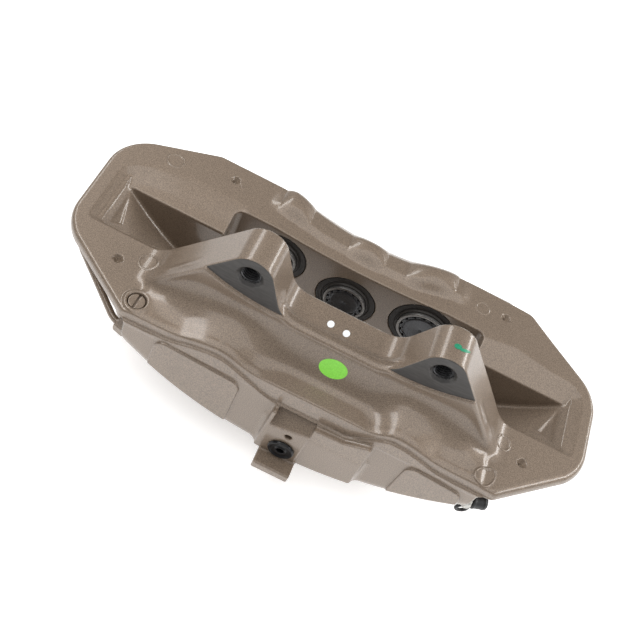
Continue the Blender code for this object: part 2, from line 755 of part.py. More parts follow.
def insert_outline(bore):
    """Round insert with a ring of vent notches in its edge."""
    radius = bore / 2 - MOUTH_WALL - CLEARANCE
    outline = []
    steps = 4 * INSERT_NOTCHES
    for k in range(steps):
        turn = 2 * pi * k / steps
        reach = radius - (NOTCH_DEPTH if k % 4 in (1, 2) else 0)
        outline.append((reach * cos(turn), reach * sin(turn)))
    return outline


def boot_profile(bore):
    """Dust boot: bead in the recess, thin fold, lip round the piston."""
    inner = bore / 2 + CLEARANCE
    outer = bore / 2 + BOOT_WIDTH
    bottom = BOOT_RECESS - CLEARANCE
    return [
        (outer, CLEARANCE), (outer, bottom), (outer - BOOT_BEAD, bottom), (inner + BOOT_LIP, BOOT_LIP),
        (inner, BOOT_LIP), (inner, -BOOT_LIP), (inner + BOOT_LIP, -BOOT_LIP), (outer - BOOT_BEAD, BOOT_LIP)]


def build_pistons():
    steel = finish("piston_steel", (0.32, 0.31, 0.30), 0.35, 0.9)
    cover = finish("insert_dark", (0.06, 0.06, 0.065), 0.5, 0.4)
    dust = finish("boot_rubber", (0.05, 0.045, 0.04), 0.6, 0.0)
    ring = finish("seal_rubber", (0.03, 0.03, 0.03), 0.6, 0.0)
    for side, sign in SIDES:
        axis = sign * AXIS_Y
        for name, x, bore in PISTONS:
            label = "_" + side + "_" + name
            at = (x, sign * PAD_WALL, piston_z(x))
            place(turned(piston_profile(bore), ROUND, axis), "piston" + label, at, PARTS, steel)
            thick = slab(insert_outline(bore), CLEARANCE, INSERT_THICKNESS - CLEARANCE)
            thick.transform(AXIS_Z.rotation_difference(axis).to_matrix().to_4x4())
            front = (x, sign * (PAD_WALL - PISTON_PROUD), piston_z(x))
            place(thick, "piston_insert" + label, front, PARTS, cover)
            place(turned(boot_profile(bore), ROUND, axis, True), "dust_boot" + label, at, PARTS, dust)
            inner = bore / 2 + CLEARANCE
            outer = inner + SEAL_HEIGHT
            section = [
                (outer, SEAL_SETBACK), (outer, SEAL_SETBACK + SEAL_WIDTH),
                (inner, SEAL_SETBACK + SEAL_WIDTH), (inner, SEAL_SETBACK)]
            place(turned(section, ROUND, axis, True), "piston_seal" + label, at, PARTS, ring)


def pipe_route():
    """Crossover route in plan: out of one port, round the left end, into the other."""
    end_x = PIPE_END_GAP - END_REACH
    near = STEPS["inboard_left"]
    far = STEPS["outboard_left"]
    depth = PORT_DEPTH / 2
    far_turn = far["seat"] + far["along"] * ((end_x - far["seat"].x) / far["along"].x)
    corners = [
        (*(near["seat"] - near["along"] * depth), 0),
        (*(near["seat"] + near["along"] * PIPE_LEAD), PIPE_BEND),
        (end_x, -PIPE_TURN_Y, PIPE_BEND),
        (*far_turn, PIPE_BEND),
        (*(far["seat"] - far["along"] * depth), 0)]
    return rounded(corners, 8)


def build_crossover():
    paint = finish("pipe_paint", (0.23, 0.18, 0.135), 0.4, 0.6)
    curve = bpy.data.curves.new("crossover", "CURVE")
    curve.dimensions = "3D"
    curve.bevel_depth = PIPE_RADIUS
    curve.bevel_resolution = 2
    curve.use_fill_caps = True
    spline = curve.splines.new("POLY")
    route = pipe_route()
    spline.points.add(len(route) - 1)
    for point, (x, y) in zip(spline.points, route):
        point.co = (x, y, -PORT_DROP, 1)
    mesh = baked(bpy.data.objects.new("crossover", curve), Matrix.Identity(4))
    place(mesh, "crossover_pipe", group=PARTS, material=paint)
    for name in ("inboard_left", "outboard_left"):
        along = (*STEPS[name]["along"], 0)
        at = (*STEPS[name]["seat"], -PORT_DROP)
        hexagon = rod(NUT_ACROSS / sqrt(3), CLEARANCE, NUT_LENGTH, 6, along)
        nut = place(hexagon, "crossover_nut_" + name, at, PARTS, paint)
        shank = rod(PORT_BORE / 2 - CLEARANCE, -PORT_DEPTH / 2, NUT_LENGTH / 2, SMALL_ROUND, along)
        add(nut, shank, "nut_shank_" + name, at)
        hollow = rod(PIPE_RADIUS + CLEARANCE, -PORT_DEPTH, 2 * NUT_LENGTH, SMALL_ROUND, along)
        cut(nut, hollow, "nut_bore_" + name, at)


def build_bleeders():
    zinc = finish("bleed_zinc", (0.45, 0.44, 0.42), 0.4, 0.9)
    rubber = finish("cap_rubber", (0.02, 0.02, 0.022), 0.55, 0.0)
    for side in ("inboard", "outboard"):
        step = STEPS[side + "_right"]
        along = Vector((*step["along"], 0))
        at = Vector((*step["seat"], -PORT_DROP))
        shank = PORT_BORE / 2 - CLEARANCE
        tip = HEX_LENGTH + NIPPLE_LENGTH
        neck = NIPPLE_RADIUS * 0.8
        profile = [
            (0, tip), (neck, tip), (NIPPLE_RADIUS, tip - NIPPLE_RADIUS), (neck, tip - 2 * NIPPLE_RADIUS),
            (neck, HEX_LENGTH / 2), (shank, HEX_LENGTH / 2), (shank, CLEARANCE - PORT_DEPTH),
            (0, CLEARANCE - PORT_DEPTH)]
        screw = place(turned(profile, SMALL_ROUND, along), "bleed_screw_" + side, at, PARTS, zinc)
        add(screw, rod(NUT_ACROSS / sqrt(3), CLEARANCE, HEX_LENGTH, 6, along), "bleed_hex_" + side, at)
        inner = NIPPLE_RADIUS + CLEARANCE
        outer = inner + CAP_WALL
        top = tip + CLEARANCE + CAP_WALL
        skirt = top - CAP_LENGTH
        cup = [
            (0, top), (outer - CAP_WALL / 2, top), (outer, top - CAP_WALL), (outer, skirt), (inner, skirt),
            (inner, tip + CLEARANCE), (0, tip + CLEARANCE)]
        cap = place(turned(cup, SMALL_ROUND, along), "bleed_cap_" + side, at, PARTS, rubber)
        loop = [(STRAP_RADIUS + r, h) for r, h in arc((0, 0), STRAP_THICKNESS, 0, -2 * pi, 8)[:-1]]
        across = along.cross(AXIS_Z)
        root = at + along * (skirt + CAP_WALL) - AXIS_Z * (inner + CAP_WALL / 2)
        hang = at + along * HEX_LENGTH - AXIS_Z * STRAP_DROP
        add(cap, turned(loop, SMALL_ROUND, across, True), "strap_" + side, hang)
        reach = hang - root
        link = rod(STRAP_THICKNESS, 0, reach.length - STRAP_RADIUS, 8, reach)
        add(cap, link, "strap_link_" + side, root)


def build_plugs():
    plastic = finish("plug_plastic", (0.015, 0.015, 0.016), 0.45, 0.0)
    paint = finish("plug_paint", (0.26, 0.205, 0.155), 0.35, 0.6)
    flange = PLUG_FLANGE / 2
    stem = INLET_BORE / 2 - CLEARANCE
    recess = stem - MOUTH_WALL
    stopper = [
        (0, PLUG_FLANGE_THICKNESS - PLUG_RECESS), (recess, PLUG_FLANGE_THICKNESS - PLUG_RECESS),
        (recess, PLUG_FLANGE_THICKNESS), (flange - CAP_WALL, PLUG_FLANGE_THICKNESS),
        (flange, PLUG_FLANGE_THICKNESS / 2), (flange, CLEARANCE), (stem, CLEARANCE),
        (stem, CLEARANCE - INLET_DEPTH), (0, CLEARANCE - INLET_DEPTH)]
    at = (INLET_X, -SEAT_FACE, -INLET_DROP)
    place(turned(stopper, ROUND, -AXIS_Y), "inlet_plug", at, PARTS, plastic)
    radius = GALLERY_BORE / 2 - CLEARANCE
    at = (-GALLERY_X, GALLERY_INSET - INBOARD_FACE, 0)
    disc = rod(radius, CLEARANCE - GALLERY_DEPTH, GALLERY_RISE / 2, ROUND)
    screw = place(disc, "gallery_plug", at, PARTS, paint)
    slot = block((-radius, -GALLERY_SLOT / 2, -GALLERY_RISE), (radius, GALLERY_SLOT / 2, GALLERY_RISE))
    cut(screw, slot, "gallery_slot", at)


build_body()
build_pistons()
build_crossover()
build_bleeders()
build_plugs()
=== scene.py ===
# %% [markdown]
# # A six-piston brake caliper, dressed for the camera
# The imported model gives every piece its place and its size. This lesson puts the finish on: a cast
# body with soft blends, painted in a bronze metallic, and the small fittings round it.
# Each step has a few words first, then the code, and every step prints what it made.

import json
import math

import bmesh
import bpy
import numpy as np
from mathutils import Matrix, Vector

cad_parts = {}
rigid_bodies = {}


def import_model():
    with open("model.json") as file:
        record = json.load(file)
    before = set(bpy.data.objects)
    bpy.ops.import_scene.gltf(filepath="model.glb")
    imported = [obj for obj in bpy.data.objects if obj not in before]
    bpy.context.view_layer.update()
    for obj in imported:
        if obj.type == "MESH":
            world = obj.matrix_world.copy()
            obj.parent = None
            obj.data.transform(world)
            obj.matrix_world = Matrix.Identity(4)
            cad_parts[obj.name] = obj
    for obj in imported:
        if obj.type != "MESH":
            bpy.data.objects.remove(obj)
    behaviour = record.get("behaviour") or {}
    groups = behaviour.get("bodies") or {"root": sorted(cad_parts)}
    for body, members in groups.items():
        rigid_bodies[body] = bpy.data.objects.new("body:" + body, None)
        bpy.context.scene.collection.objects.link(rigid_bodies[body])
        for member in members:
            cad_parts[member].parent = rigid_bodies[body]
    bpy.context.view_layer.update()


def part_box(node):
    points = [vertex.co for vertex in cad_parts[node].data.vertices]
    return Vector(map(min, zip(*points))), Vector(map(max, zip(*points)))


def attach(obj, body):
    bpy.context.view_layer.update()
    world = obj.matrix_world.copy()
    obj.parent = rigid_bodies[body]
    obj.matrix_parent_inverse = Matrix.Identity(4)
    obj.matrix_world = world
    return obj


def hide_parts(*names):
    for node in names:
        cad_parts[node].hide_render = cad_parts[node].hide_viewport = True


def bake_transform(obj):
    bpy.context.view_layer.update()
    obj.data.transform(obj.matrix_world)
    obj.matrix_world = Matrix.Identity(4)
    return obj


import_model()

# %% [markdown]
# ## Sizes
# Everything is worked out in millimetres from three places: the middle of the caliper (x), the disc's
# middle plane (y) and the end flats (z). The disc plane and the flats are read from the frame.

# %% Sizes
MM = 0.001
body_low, body_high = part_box("caliper_body")
pipe_low, pipe_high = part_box("crossover_pipe")
out_low, out_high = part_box("piston_outboard_mid")
in_low, in_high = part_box("piston_inboard_mid")
PORT_DROP = 30.0
DISC_PLANE = (out_low.y + in_high.y) / 2
FLATS = (pipe_low.z + pipe_high.z) / 2 + PORT_DROP * MM
REST = FLATS / MM
AXIS_RISE = 139.0
SLOT_RADIUS = 222.0
SLOT_HALF = 20.0
OUTER_RADIUS = 238.0
FACE_RADIUS = 205.0
POCKET_RADIUS = 216.0
POCKET_HALF = 97.0
PAD_WALL = 41.0
INBOARD_FACE = 78.0
OUTBOARD_FACE = 80.0
SEAT_FACE = 83.0
END_REACH = 190.0
LUG_X = 65.0
LUG_RISE = 49.5
LUG_RADIUS = 15.5
LUG_FACE = 47.5
RAIL_RISE = 27.0
PISTON_PITCH = 58.0
PISTON_ARC = 176.0
PISTON_PROUD = 3.0
PISTONS = (("left", -PISTON_PITCH, 15.0), ("mid", 0.0, 16.0), ("right", PISTON_PITCH, 18.0))
SIDES = (("outboard", 1), ("inboard", -1))
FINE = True
print("disc plane at y = %.4f m, end flats at z = %.4f m" % (DISC_PLANE, FLATS))


def to_world(points):
    """Millimetres from the caliper's own zero to metres in the frame."""
    return np.asarray(points) * MM + np.array([0.0, DISC_PLANE, FLATS])


def piston_height(x):
    """Height of a piston's axis on the arc of the pad's middle."""
    return AXIS_RISE - math.sqrt(PISTON_ARC ** 2 - x ** 2)


# %% [markdown]
# ## Camera, floor and light
# The camera stands where the photograph was taken from, rolled so that the caliper lies aslant.
# Two long soft boxes behind the caliper draw the pair of white streaks on each lug, one overhead catches the
# soft rims of the flank, and the white floor lights the faces that look down at it.

# %% Camera
CAMERA = {"turn": -4.876, "rise": 52.139, "roll": 30.480, "distance": 642.198, "aside": -16.253, "up": -4.313}
FOCAL_PIXELS = 956.461
IMAGE_SIDE = 640
SENSOR = 36.0


def camera_axes():
    """Right, up and back of a camera on a sphere about zero, rolled about its line of sight, and its place."""
    turn, rise, roll = (math.radians(CAMERA[key]) for key in ("turn", "rise", "roll"))
    back = np.array([math.sin(turn) * math.cos(rise), -math.cos(turn) * math.cos(rise), math.sin(rise)])
    level = np.array([math.cos(turn), math.sin(turn), 0.0])
    above = np.cross(back, level)
    right = math.cos(roll) * level + math.sin(roll) * above
    up = -math.sin(roll) * level + math.cos(roll) * above
    return right, up, back, back * CAMERA["distance"] + right * CAMERA["aside"] + up * CAMERA["up"]


def build_camera():
    right, up, back, place = camera_axes()
    matrix = np.eye(4)
    matrix[:3, :3] = np.stack([right, up, back], axis=1)
    matrix[:3, 3] = to_world(place)
    lens = bpy.data.cameras.new("camera")
    lens.sensor_width = SENSOR
    lens.lens = FOCAL_PIXELS * SENSOR / IMAGE_SIDE
    camera = bpy.data.objects.new("camera", lens)
    camera.matrix_world = Matrix(matrix.tolist())
    bpy.context.scene.collection.objects.link(camera)
    bpy.context.scene.camera = camera


build_camera()
print("camera set")


# %% Floor and light
FLOOR_GLOW = 0.55


def floor_material():
    """Matt white, glowing faintly."""
    material = bpy.data.materials.new("floor_white")
    material.use_nodes = True
    shader = material.node_tree.nodes["Principled BSDF"]
    shader.inputs["Base Color"].default_value = (0.94, 0.94, 0.94, 1.0)
    shader.inputs["Roughness"].default_value = 0.7
    shader.inputs["Emission Color"].default_value = (1.0, 1.0, 1.0, 1.0)
    shader.inputs["Emission Strength"].default_value = FLOOR_GLOW
    return material


def build_floor():
    """A wide pale plane just under the resting back."""
    half = 6.0
    mesh = bpy.data.meshes.new("floor")
    corners = [(-half, -half), (half, -half), (half, half), (-half, half)]
    mesh.from_pydata([(x, y, body_low.z - 0.0005) for x, y in corners], [], [(0, 1, 2, 3)])
    mesh.materials.append(floor_material())
    floor = bpy.data.objects.new("floor", mesh)
    bpy.context.scene.collection.objects.link(floor)


def soft_box(name, place, aim, size, power):
    """A rectangular area light that looks at a point."""
    light = bpy.data.lights.new(name, "AREA")
    light.shape = "RECTANGLE"
    light.size, light.size_y = size
    light.energy = power
    lamp = bpy.data.objects.new(name, light)
    lamp.location = place
    lamp.rotation_euler = (Vector(aim) - Vector(place)).to_track_quat("-Z", "Y").to_euler()
    bpy.context.scene.collection.objects.link(lamp)


def build_light():
    world = bpy.data.worlds.new("studio")
    world.use_nodes = True
    shade = world.node_tree.nodes["Background"]
    shade.inputs["Color"].default_value = (1.0, 1.0, 1.0, 1.0)
    shade.inputs["Strength"].default_value = 0.30
    bpy.context.scene.world = world
    bpy.context.scene.view_settings.view_transform = "Standard"
    middle = (0.0, 0.0, 0.09)
    soft_box("left_box", (-0.72, 0.35, 0.98), (0.0, 0.35, 0.09), (1.6, 0.30), 9)
    soft_box("right_box", (1.02, 0.35, 0.60), (0.0, 0.35, 0.09), (1.6, 0.22), 10)
    soft_box("top_box", (0.05, -0.18, 1.20), middle, (1.6, 1.1), 7)


build_floor()
build_light()

# %% [markdown]
# ## The casting as a field
# A cast body is all blends: arms melt into flats, bosses swell out of a flank. Blending is easy when a shape
# is a field, a number at every point that is negative inside and positive outside. Two shapes join by taking
# the smaller number, with a soft step where they meet, and a cut takes the larger number with the cutter's
# sign turned. The skin is where the field is zero. Modelling the blends with bevels on a Boolean result
# would break at most of these edges, so the field is the safer way to the same casting.


# %% Field tools
def soft_min(a, b, k):
    """The smaller of two fields, with a blend about k wide where they are nearly equal."""
    step = np.maximum(k - np.abs(a - b), 0.0) / k
    return np.minimum(a, b) - step * step * k * 0.25


def soft_max(a, b, k):
    """The larger of two fields, blended the same way."""
    return -soft_min(-a, -b, k)


def round_max(a, b, r):
    """The larger of two fields, with an arc of radius r where they meet from outside."""
    corner = np.hypot(np.maximum(a + r, 0.0), np.maximum(b + r, 0.0))
    return np.minimum(np.maximum(a, b) + r, 0.0) + corner - r


def corner_max(a, b, r, lean):
    """The same for edges that meet at any angle; lean is the cosine between their outward directions."""
    a, b = a + r, b + r
    wedge = (a > b * lean) & (b > a * lean)
    arc = np.sqrt(np.maximum(a * a + b * b - 2.0 * a * b * lean, 0.0) / (1.0 - lean * lean))
    return np.where(wedge, arc, np.maximum(a, b)) - r


def ease(t):
    """Zero below 0, one above 1, and a smooth S between."""
    t = np.clip(t, 0.0, 1.0)
    return t * t * (3.0 - 2.0 * t)


def outline_field(u, v, corners, radius=0.0):
    """Distance to a closed outline, negative inside: the nearest of its edges, signed by crossings."""
    best = np.full(np.broadcast(u, v).shape, 1e9, np.float32)
    inside = np.zeros(best.shape, bool)
    for (ax, ay), (bx, by) in zip(corners, corners[1:] + corners[:1]):
        ex, ey = bx - ax, by - ay
        wx, wy = u - ax, v - ay
        t = np.clip((wx * ex + wy * ey) / (ex * ex + ey * ey), 0.0, 1.0)
        best = np.minimum(best, (wx - ex * t) ** 2 + (wy - ey * t) ** 2)
        above, below, left = v >= ay, v < by, ex * wy > ey * wx
        inside ^= (above & below & left) | (~above & ~below & ~left)
    return np.where(inside, -1.0, 1.0) * np.sqrt(best) - radius


def plate(flat, across, lower, upper, r):
    """A flat outline's field given thickness along one more axis, its edges rounded by r."""
    return round_max(flat, np.abs(across - (lower + upper) / 2) - (upper - lower) / 2, r)


def inset(corners, r):
    """An outline drawn in by r: each corner moves along the bisector of its two edges."""
    points = np.array(corners)
    before, after = np.roll(points, 1, 0), np.roll(points, -1, 0)
    a = (points - before) / np.linalg.norm(points - before, axis=1)[:, None]
    b = (after - points) / np.linalg.norm(after - points, axis=1)[:, None]
    na, nb = np.stack([-a[:, 1], a[:, 0]], 1), np.stack([-b[:, 1], b[:, 0]], 1)
    turn = 1.0 + np.sum(na * nb, axis=1)
    return [tuple(p) for p in points + r * (na + nb) / turn[:, None]]


# %% [markdown]
# ## The skin
# The field is sampled on a coarse grid first. Only the cells near the skin are sampled again on the fine grid,
# which keeps the time down. Each fine cell that the skin passes through gets one point, and the four cells
# round every crossed grid edge give one face. The points are then walked onto the skin along the field's slope,
# and that slope is also the surface normal, so that even thin blends shade smoothly.


# %% Skin tools
def slope(field, points, h=0.05):
    """The field's gradient by central differences."""
    parts = []
    for axis in range(3):
        offset = np.zeros(3, np.float32)
        offset[axis] = h
        parts.append((field(*(points + offset).T) - field(*(points - offset).T)) / (2 * h))
    return np.stack(parts, axis=1)


def skin(field, lower, upper, step, coarse=4):
    """Points and four-sided faces of the field's zero surface inside a box."""
    counts = [int(math.ceil((u - l) / (step * coarse))) * coarse for l, u in zip(lower, upper)]
    axes = [l + step * np.arange(n + 1, dtype=np.float32) for l, n in zip(lower, counts)]
    rough = field(*np.meshgrid(*[a[::coarse] for a in axes], indexing="ij"))
    near = np.abs(rough) < 2.2 * step * coarse
    for axis in range(3):
        swapped = np.moveaxis(near, axis, 0)
        grown = swapped.copy()
        grown[1:] |= swapped[:-1]
        grown[:-1] |= swapped[1:]
        near = np.moveaxis(grown, 0, axis)
    values = np.kron(rough, np.ones((coarse,) * 3, np.float32))
    values = values[tuple(slice(0, n + 1) for n in counts)].astype(np.float32)
    busy = np.kron(near, np.ones((coarse,) * 3, bool))[tuple(slice(0, n + 1) for n in counts)]
    i, j, k = np.nonzero(busy)
    chunk = 400000
    for s in range(0, len(i), chunk):
        e = slice(s, s + chunk)
        values[i[e], j[e], k[e]] = field(axes[0][i[e]], axes[1][j[e]], axes[2][k[e]])
    inside = values < 0
    total = np.zeros(tuple(counts) + (3,), np.float32)
    hits = np.zeros(tuple(counts), np.float32)
    grid_edges = []
    for axis in range(3):
        others = [a for a in range(3) if a != axis]
        front = [slice(None)] * 3
        back = [slice(None)] * 3
        front[axis], back[axis] = slice(0, -1), slice(1, None)
        a, b = values[tuple(front)], values[tuple(back)]
        crossed = inside[tuple(front)] != inside[tuple(back)]
        index = np.array(np.nonzero(crossed))
        va, vb = a[crossed], b[crossed]
        place = index.T.astype(np.float32)
        place[:, axis] += va / (va - vb)
        grid_edges.append((axis, index, inside[tuple(front)][crossed]))
        for du in (0, 1):
            for dv in (0, 1):
                cell = index.copy()
                cell[others[0]] -= du
                cell[others[1]] -= dv
                good = np.all((cell >= 0) & (cell < np.array(counts)[:, None]), axis=0)
                at = tuple(cell[:, good])
                np.add.at(total, at, place[good])
                np.add.at(hits, at, 1.0)
    used = hits > 0
    number = np.full(tuple(counts), -1, np.int64)
    number[used] = np.arange(used.sum())
    points = total[used] / hits[used][:, None] * step + np.array(lower, np.float32)
    faces = []
    for axis, index, first_in in grid_edges:
        u, v = (axis + 1) % 3, (axis + 2) % 3
        ring = []
        for du, dv in ((0, 0), (1, 0), (1, 1), (0, 1)):
            cell = index.copy()
            cell[u] -= du
            cell[v] -= dv
            cell = np.clip(cell, 0, np.array(counts)[:, None] - 1)
            ring.append(number[tuple(cell)])
        quad = np.stack(ring, axis=1)
        quad = np.where(first_in[:, None], quad, quad[:, ::-1])
        faces.append(quad[(quad >= 0).all(axis=1)])
    faces = np.concatenate(faces)
    for _ in range(3):
        d = field(*points.T)
        g = slope(field, points)
        norm2 = np.maximum(np.sum(g * g, axis=1), 0.05)
        walk = np.clip(d / norm2, -0.5 * step, 0.5 * step)
        points = points - g * walk[:, None]
    return points.astype(np.float32), faces


def welded(mesh):
    """Join the points that a spun or carried grid has twice, at its poles and its seam."""
    work = bmesh.new()
    work.from_mesh(mesh)
    bmesh.ops.remove_doubles(work, verts=work.verts, dist=1e-6)
    work.to_mesh(mesh)
    work.free()


def mesh_from(name, points, faces, material, sharp=None):
    """A mesh object from whole arrays of points (mm) and faces, smooth shaded."""
    mesh = bpy.data.meshes.new(name)
    width = faces.shape[1]
    mesh.vertices.add(len(points))
    mesh.vertices.foreach_set("co", np.ascontiguousarray(to_world(points), np.float32).ravel())
    mesh.loops.add(faces.size)
    mesh.loops.foreach_set("vertex_index", np.ascontiguousarray(faces, np.int32).ravel())
    mesh.polygons.add(len(faces))
    mesh.polygons.foreach_set("loop_start", np.arange(0, faces.size, width, dtype=np.int32))
    mesh.polygons.foreach_set("loop_total", np.full(len(faces), width, np.int32))
    mesh.update(calc_edges=True)
    mesh.validate()
    if sharp:
        welded(mesh)
    mesh.shade_smooth()
    if sharp:
        mesh.set_sharp_from_angle(angle=math.radians(sharp))
    mesh.materials.append(material)
    item = bpy.data.objects.new(name, mesh)
    bpy.context.scene.collection.objects.link(item)
    return item


# %% [markdown]
# ## The casting's own shapes
# First the plan: the flat ends with their chamfered corners and, below them, the block that is set back to make
# room for pipe and screws. Then the front view of arms, lugs and rail, and three height maps: the outboard
# ridge with its bumps, the borders of the two end windows, and the flank that swells over the outer bores.

# %% Plan
CORNERS = {
    "inboard_left": ((-125.5, -INBOARD_FACE), (-END_REACH, -31.5)),
    "inboard_right": ((133.0, -INBOARD_FACE), (END_REACH, -31.5)),
    "outboard_right": ((127.5, OUTBOARD_FACE), (END_REACH, 36.0)),
    "outboard_left": ((-125.0, OUTBOARD_FACE), (-END_REACH, 49.5)),
}
PORTS = {
    "inboard_left": (20.0, 1.5),
    "inboard_right": (20.0, 6.8),
    "outboard_right": (20.0, 1.5),
    "outboard_left": (0.0, 1.5),
}
END_ROUND = 35.0
FACE_ROUND = 12.0
FLANGE_THICKNESS = 8.0
FLANGE_SHIFT = {"outboard_left": 4.0}
CORE_INSET = 17.5
CORE_END = END_REACH - CORE_INSET
PORT_INSET = 10.0
PORT_DEPTH = 7.0


def block_end(corner, flange_end, lean, setback):
    """Plan of one block end under the flange: a port's seat, square to its axis, then a wall set back."""
    corner, flange_end = np.array(corner), np.array(flange_end)
    chamfer = (flange_end - corner) / np.linalg.norm(flange_end - corner)
    turn = math.radians(lean) * (-1 if chamfer[0] * chamfer[1] > 0 else 1)
    spin = np.array([[math.cos(turn), -math.sin(turn)], [math.sin(turn), math.cos(turn)]])
    along = spin @ chamfer
    inward = np.array([-along[1], along[0]])
    if inward @ corner > 0:
        inward = -inward
    foot = corner - along * setback
    inner = foot + inward * CORE_INSET
    return {
        "outer": foot + inward * ((corner[1] - foot[1]) / inward[1]),
        "inner": inner,
        "wall_end": inner + chamfer * ((CORE_END - abs(inner[0])) / abs(chamfer[0])),
        "seat": foot + inward * PORT_INSET,
        "along": along,
    }


ENDS = {name: block_end(*pair, *PORTS[name]) for name, pair in CORNERS.items()}
ROUND_TRIP = ("inboard_left", "inboard_right", "outboard_right", "outboard_left")
END_FIRST = ("inboard_left", "outboard_right")


def flange_edges():
    """Each edge of the flat ends as a point and an outward direction, with the arc at its first corner."""
    trip, rounds = [], []
    for name in ROUND_TRIP:
        first = name in END_FIRST
        face, end = CORNERS[name]
        pair = [face, (end[0], end[1] + FLANGE_SHIFT.get(name, 0.0))]
        trip += pair[::-1] if first else pair
        rounds += [END_ROUND, FACE_ROUND] if first else [FACE_ROUND, END_ROUND]
    here = np.array(trip)
    run = np.roll(here, -1, 0) - here
    run /= np.linalg.norm(run, axis=1)[:, None]
    return np.concatenate([here, run[:, 1:], -run[:, :1]], axis=1), rounds


EDGES, EDGE_ROUNDS = flange_edges()


def flange_plan(x, y):
    """The largest of eight edge distances, with each corner given its own arc."""
    away = [(x - px) * nx + (y - py) * ny for px, py, nx, ny in EDGES]
    leans = [float(EDGES[i - 1, 2:] @ EDGES[i, 2:]) for i in range(len(EDGES))]
    pairs = [corner_max(away[i - 1], away[i], r, leans[i]) for i, r in enumerate(EDGE_ROUNDS)]
    return np.maximum.reduce(pairs)


def core_corners():
    """Plan below the flats: the blocks at full width, the ends set back."""
    order = {
        "inboard_left": ("wall_end", "inner", "outer"),
        "inboard_right": ("outer", "inner", "wall_end"),
        "outboard_right": ("wall_end", "inner", "outer"),
        "outboard_left": ("outer", "inner", "wall_end"),
    }
    return [tuple(ENDS[name][key]) for name, keys in order.items() for key in keys]


CORE = core_corners()
print("plan:", len(EDGES), "flange edges,", len(CORE), "core corners")


# %% Arms, lugs and rail
def tangent(point, centre, radius, side):
    """Where the line from a point touches a circle, on the given side."""
    offset = np.array(point) - np.array(centre)
    angle = math.atan2(offset[1], offset[0]) + side * math.acos(radius / np.linalg.norm(offset))
    return (centre[0] + radius * math.cos(angle), centre[1] + radius * math.sin(angle))


ARM_FOOT = (124.0, 0.0)
INNER_FOOT = (36.0, 24.0)
LUG_CENTRE = (LUG_X, LUG_RISE)
OUTER_TOUCH = tangent(ARM_FOOT, LUG_CENTRE, LUG_RADIUS, 1)
INNER_TOUCH = tangent(INNER_FOOT, LUG_CENTRE, LUG_RADIUS, -1)
ARM_RUN = (ARM_FOOT[0] - OUTER_TOUCH[0]) / OUTER_TOUCH[1]
ARM = [(ARM_FOOT[0] + 12 * ARM_RUN, -12.0), OUTER_TOUCH, INNER_TOUCH, INNER_FOOT, (36.0, -12.0)]


def lug_front(x, z):
    """Front view of rail, arms and lugs: sloped arms and round bosses, filleted into the rail."""
    ax = np.abs(x)
    arm = np.minimum(outline_field(ax, z, ARM), np.hypot(ax - LUG_X, z - LUG_RISE) - LUG_RADIUS)
    rail = np.maximum(z - RAIL_RISE, ax - 60.0)
    return soft_min(arm, rail, 11.0)


def ledge(ax):
    """Lower edge of a machined lug face, a shallow curve rising to its outer tip."""
    t = ax - 37.0
    return 29.6 - 0.0674 * t + 0.004664 * t * t


# %% Height maps
LIP_SAG = 3.5
DISH_HALF = 66.0
DISH_SAG = 14.5
RIDGE_LIFT = 2.6
RISER_WIDTH = 9.0
OUTER_FALL = 1.3
BUMPS = ((-60.0, 12.5, 4.8), (-1.0, 14.5, 5.4), (48.5, 18.5, 6.2))
BUMP_RUN = 14.0
BROW_RIGHT = ((90.0, 37.0), (122.0, 42.4), (151.0, 36.5), (166.0, 35.5), (180.0, 30.0))
BROW_LEFT = ((90.0, 47.0), (135.0, 47.0), (161.0, 41.0), (180.0, 30.0))
BROW_SOFT = 1.6
WINDOW_ROUND = 12.0
SCOOP_LEFT = 6.5
SCOOP_RIGHT = 7.0
WINDOW_END = 178.5
WINDOW_INNER = 170.5
WINDOW_SHELF = 3.2
SPOTS = ((-108.1, 64.1), (-146.7, -42.3), (108.3, 63.2), (145.4, -44.8))
SPOT_RADIUS = 3.6
FLANK_REACH = 121.0
FLANK_TOP = 21.0
FLANK_SHELF = -70.0
FLANK_ROUND = 9.5


def ridge_height(x, y):
    """Outboard top: flats at zero, a dished lip, a riser, then a ridge that falls outboard under three bumps."""
    s = np.clip(np.abs(x) / DISH_HALF, 0.0, 1.0)
    lip = -LIP_SAG * (1.0 - s * s) * ease((y - 30.0) / 8.0)
    run = y - PAD_WALL - 7.5 - 5.0 * ease((np.abs(x) - 30.0) / 36.0)
    bumps = 0.0
    for centre, half, rise in BUMPS:
        dome = np.clip(1.0 - ((x - centre) / half) ** 2, 0.0, 1.0)
        bumps = bumps + rise * dome ** 0.9
    bumps = bumps * soft_min(np.maximum(run, 0.0) / BUMP_RUN, 1.0, 0.3)
    level = lip + (RIDGE_LIFT - 0.12 * np.maximum(run - RISER_WIDTH, 0.0)) * ease(run / RISER_WIDTH) + bumps
    outer = 0.5 * bumps - DISH_SAG * (1.0 - s * s) + OUTER_FALL * (OUTBOARD_FACE - y)
    return soft_min(level, outer, 5.0) * ease((81.0 - np.abs(x)) / 11.0)


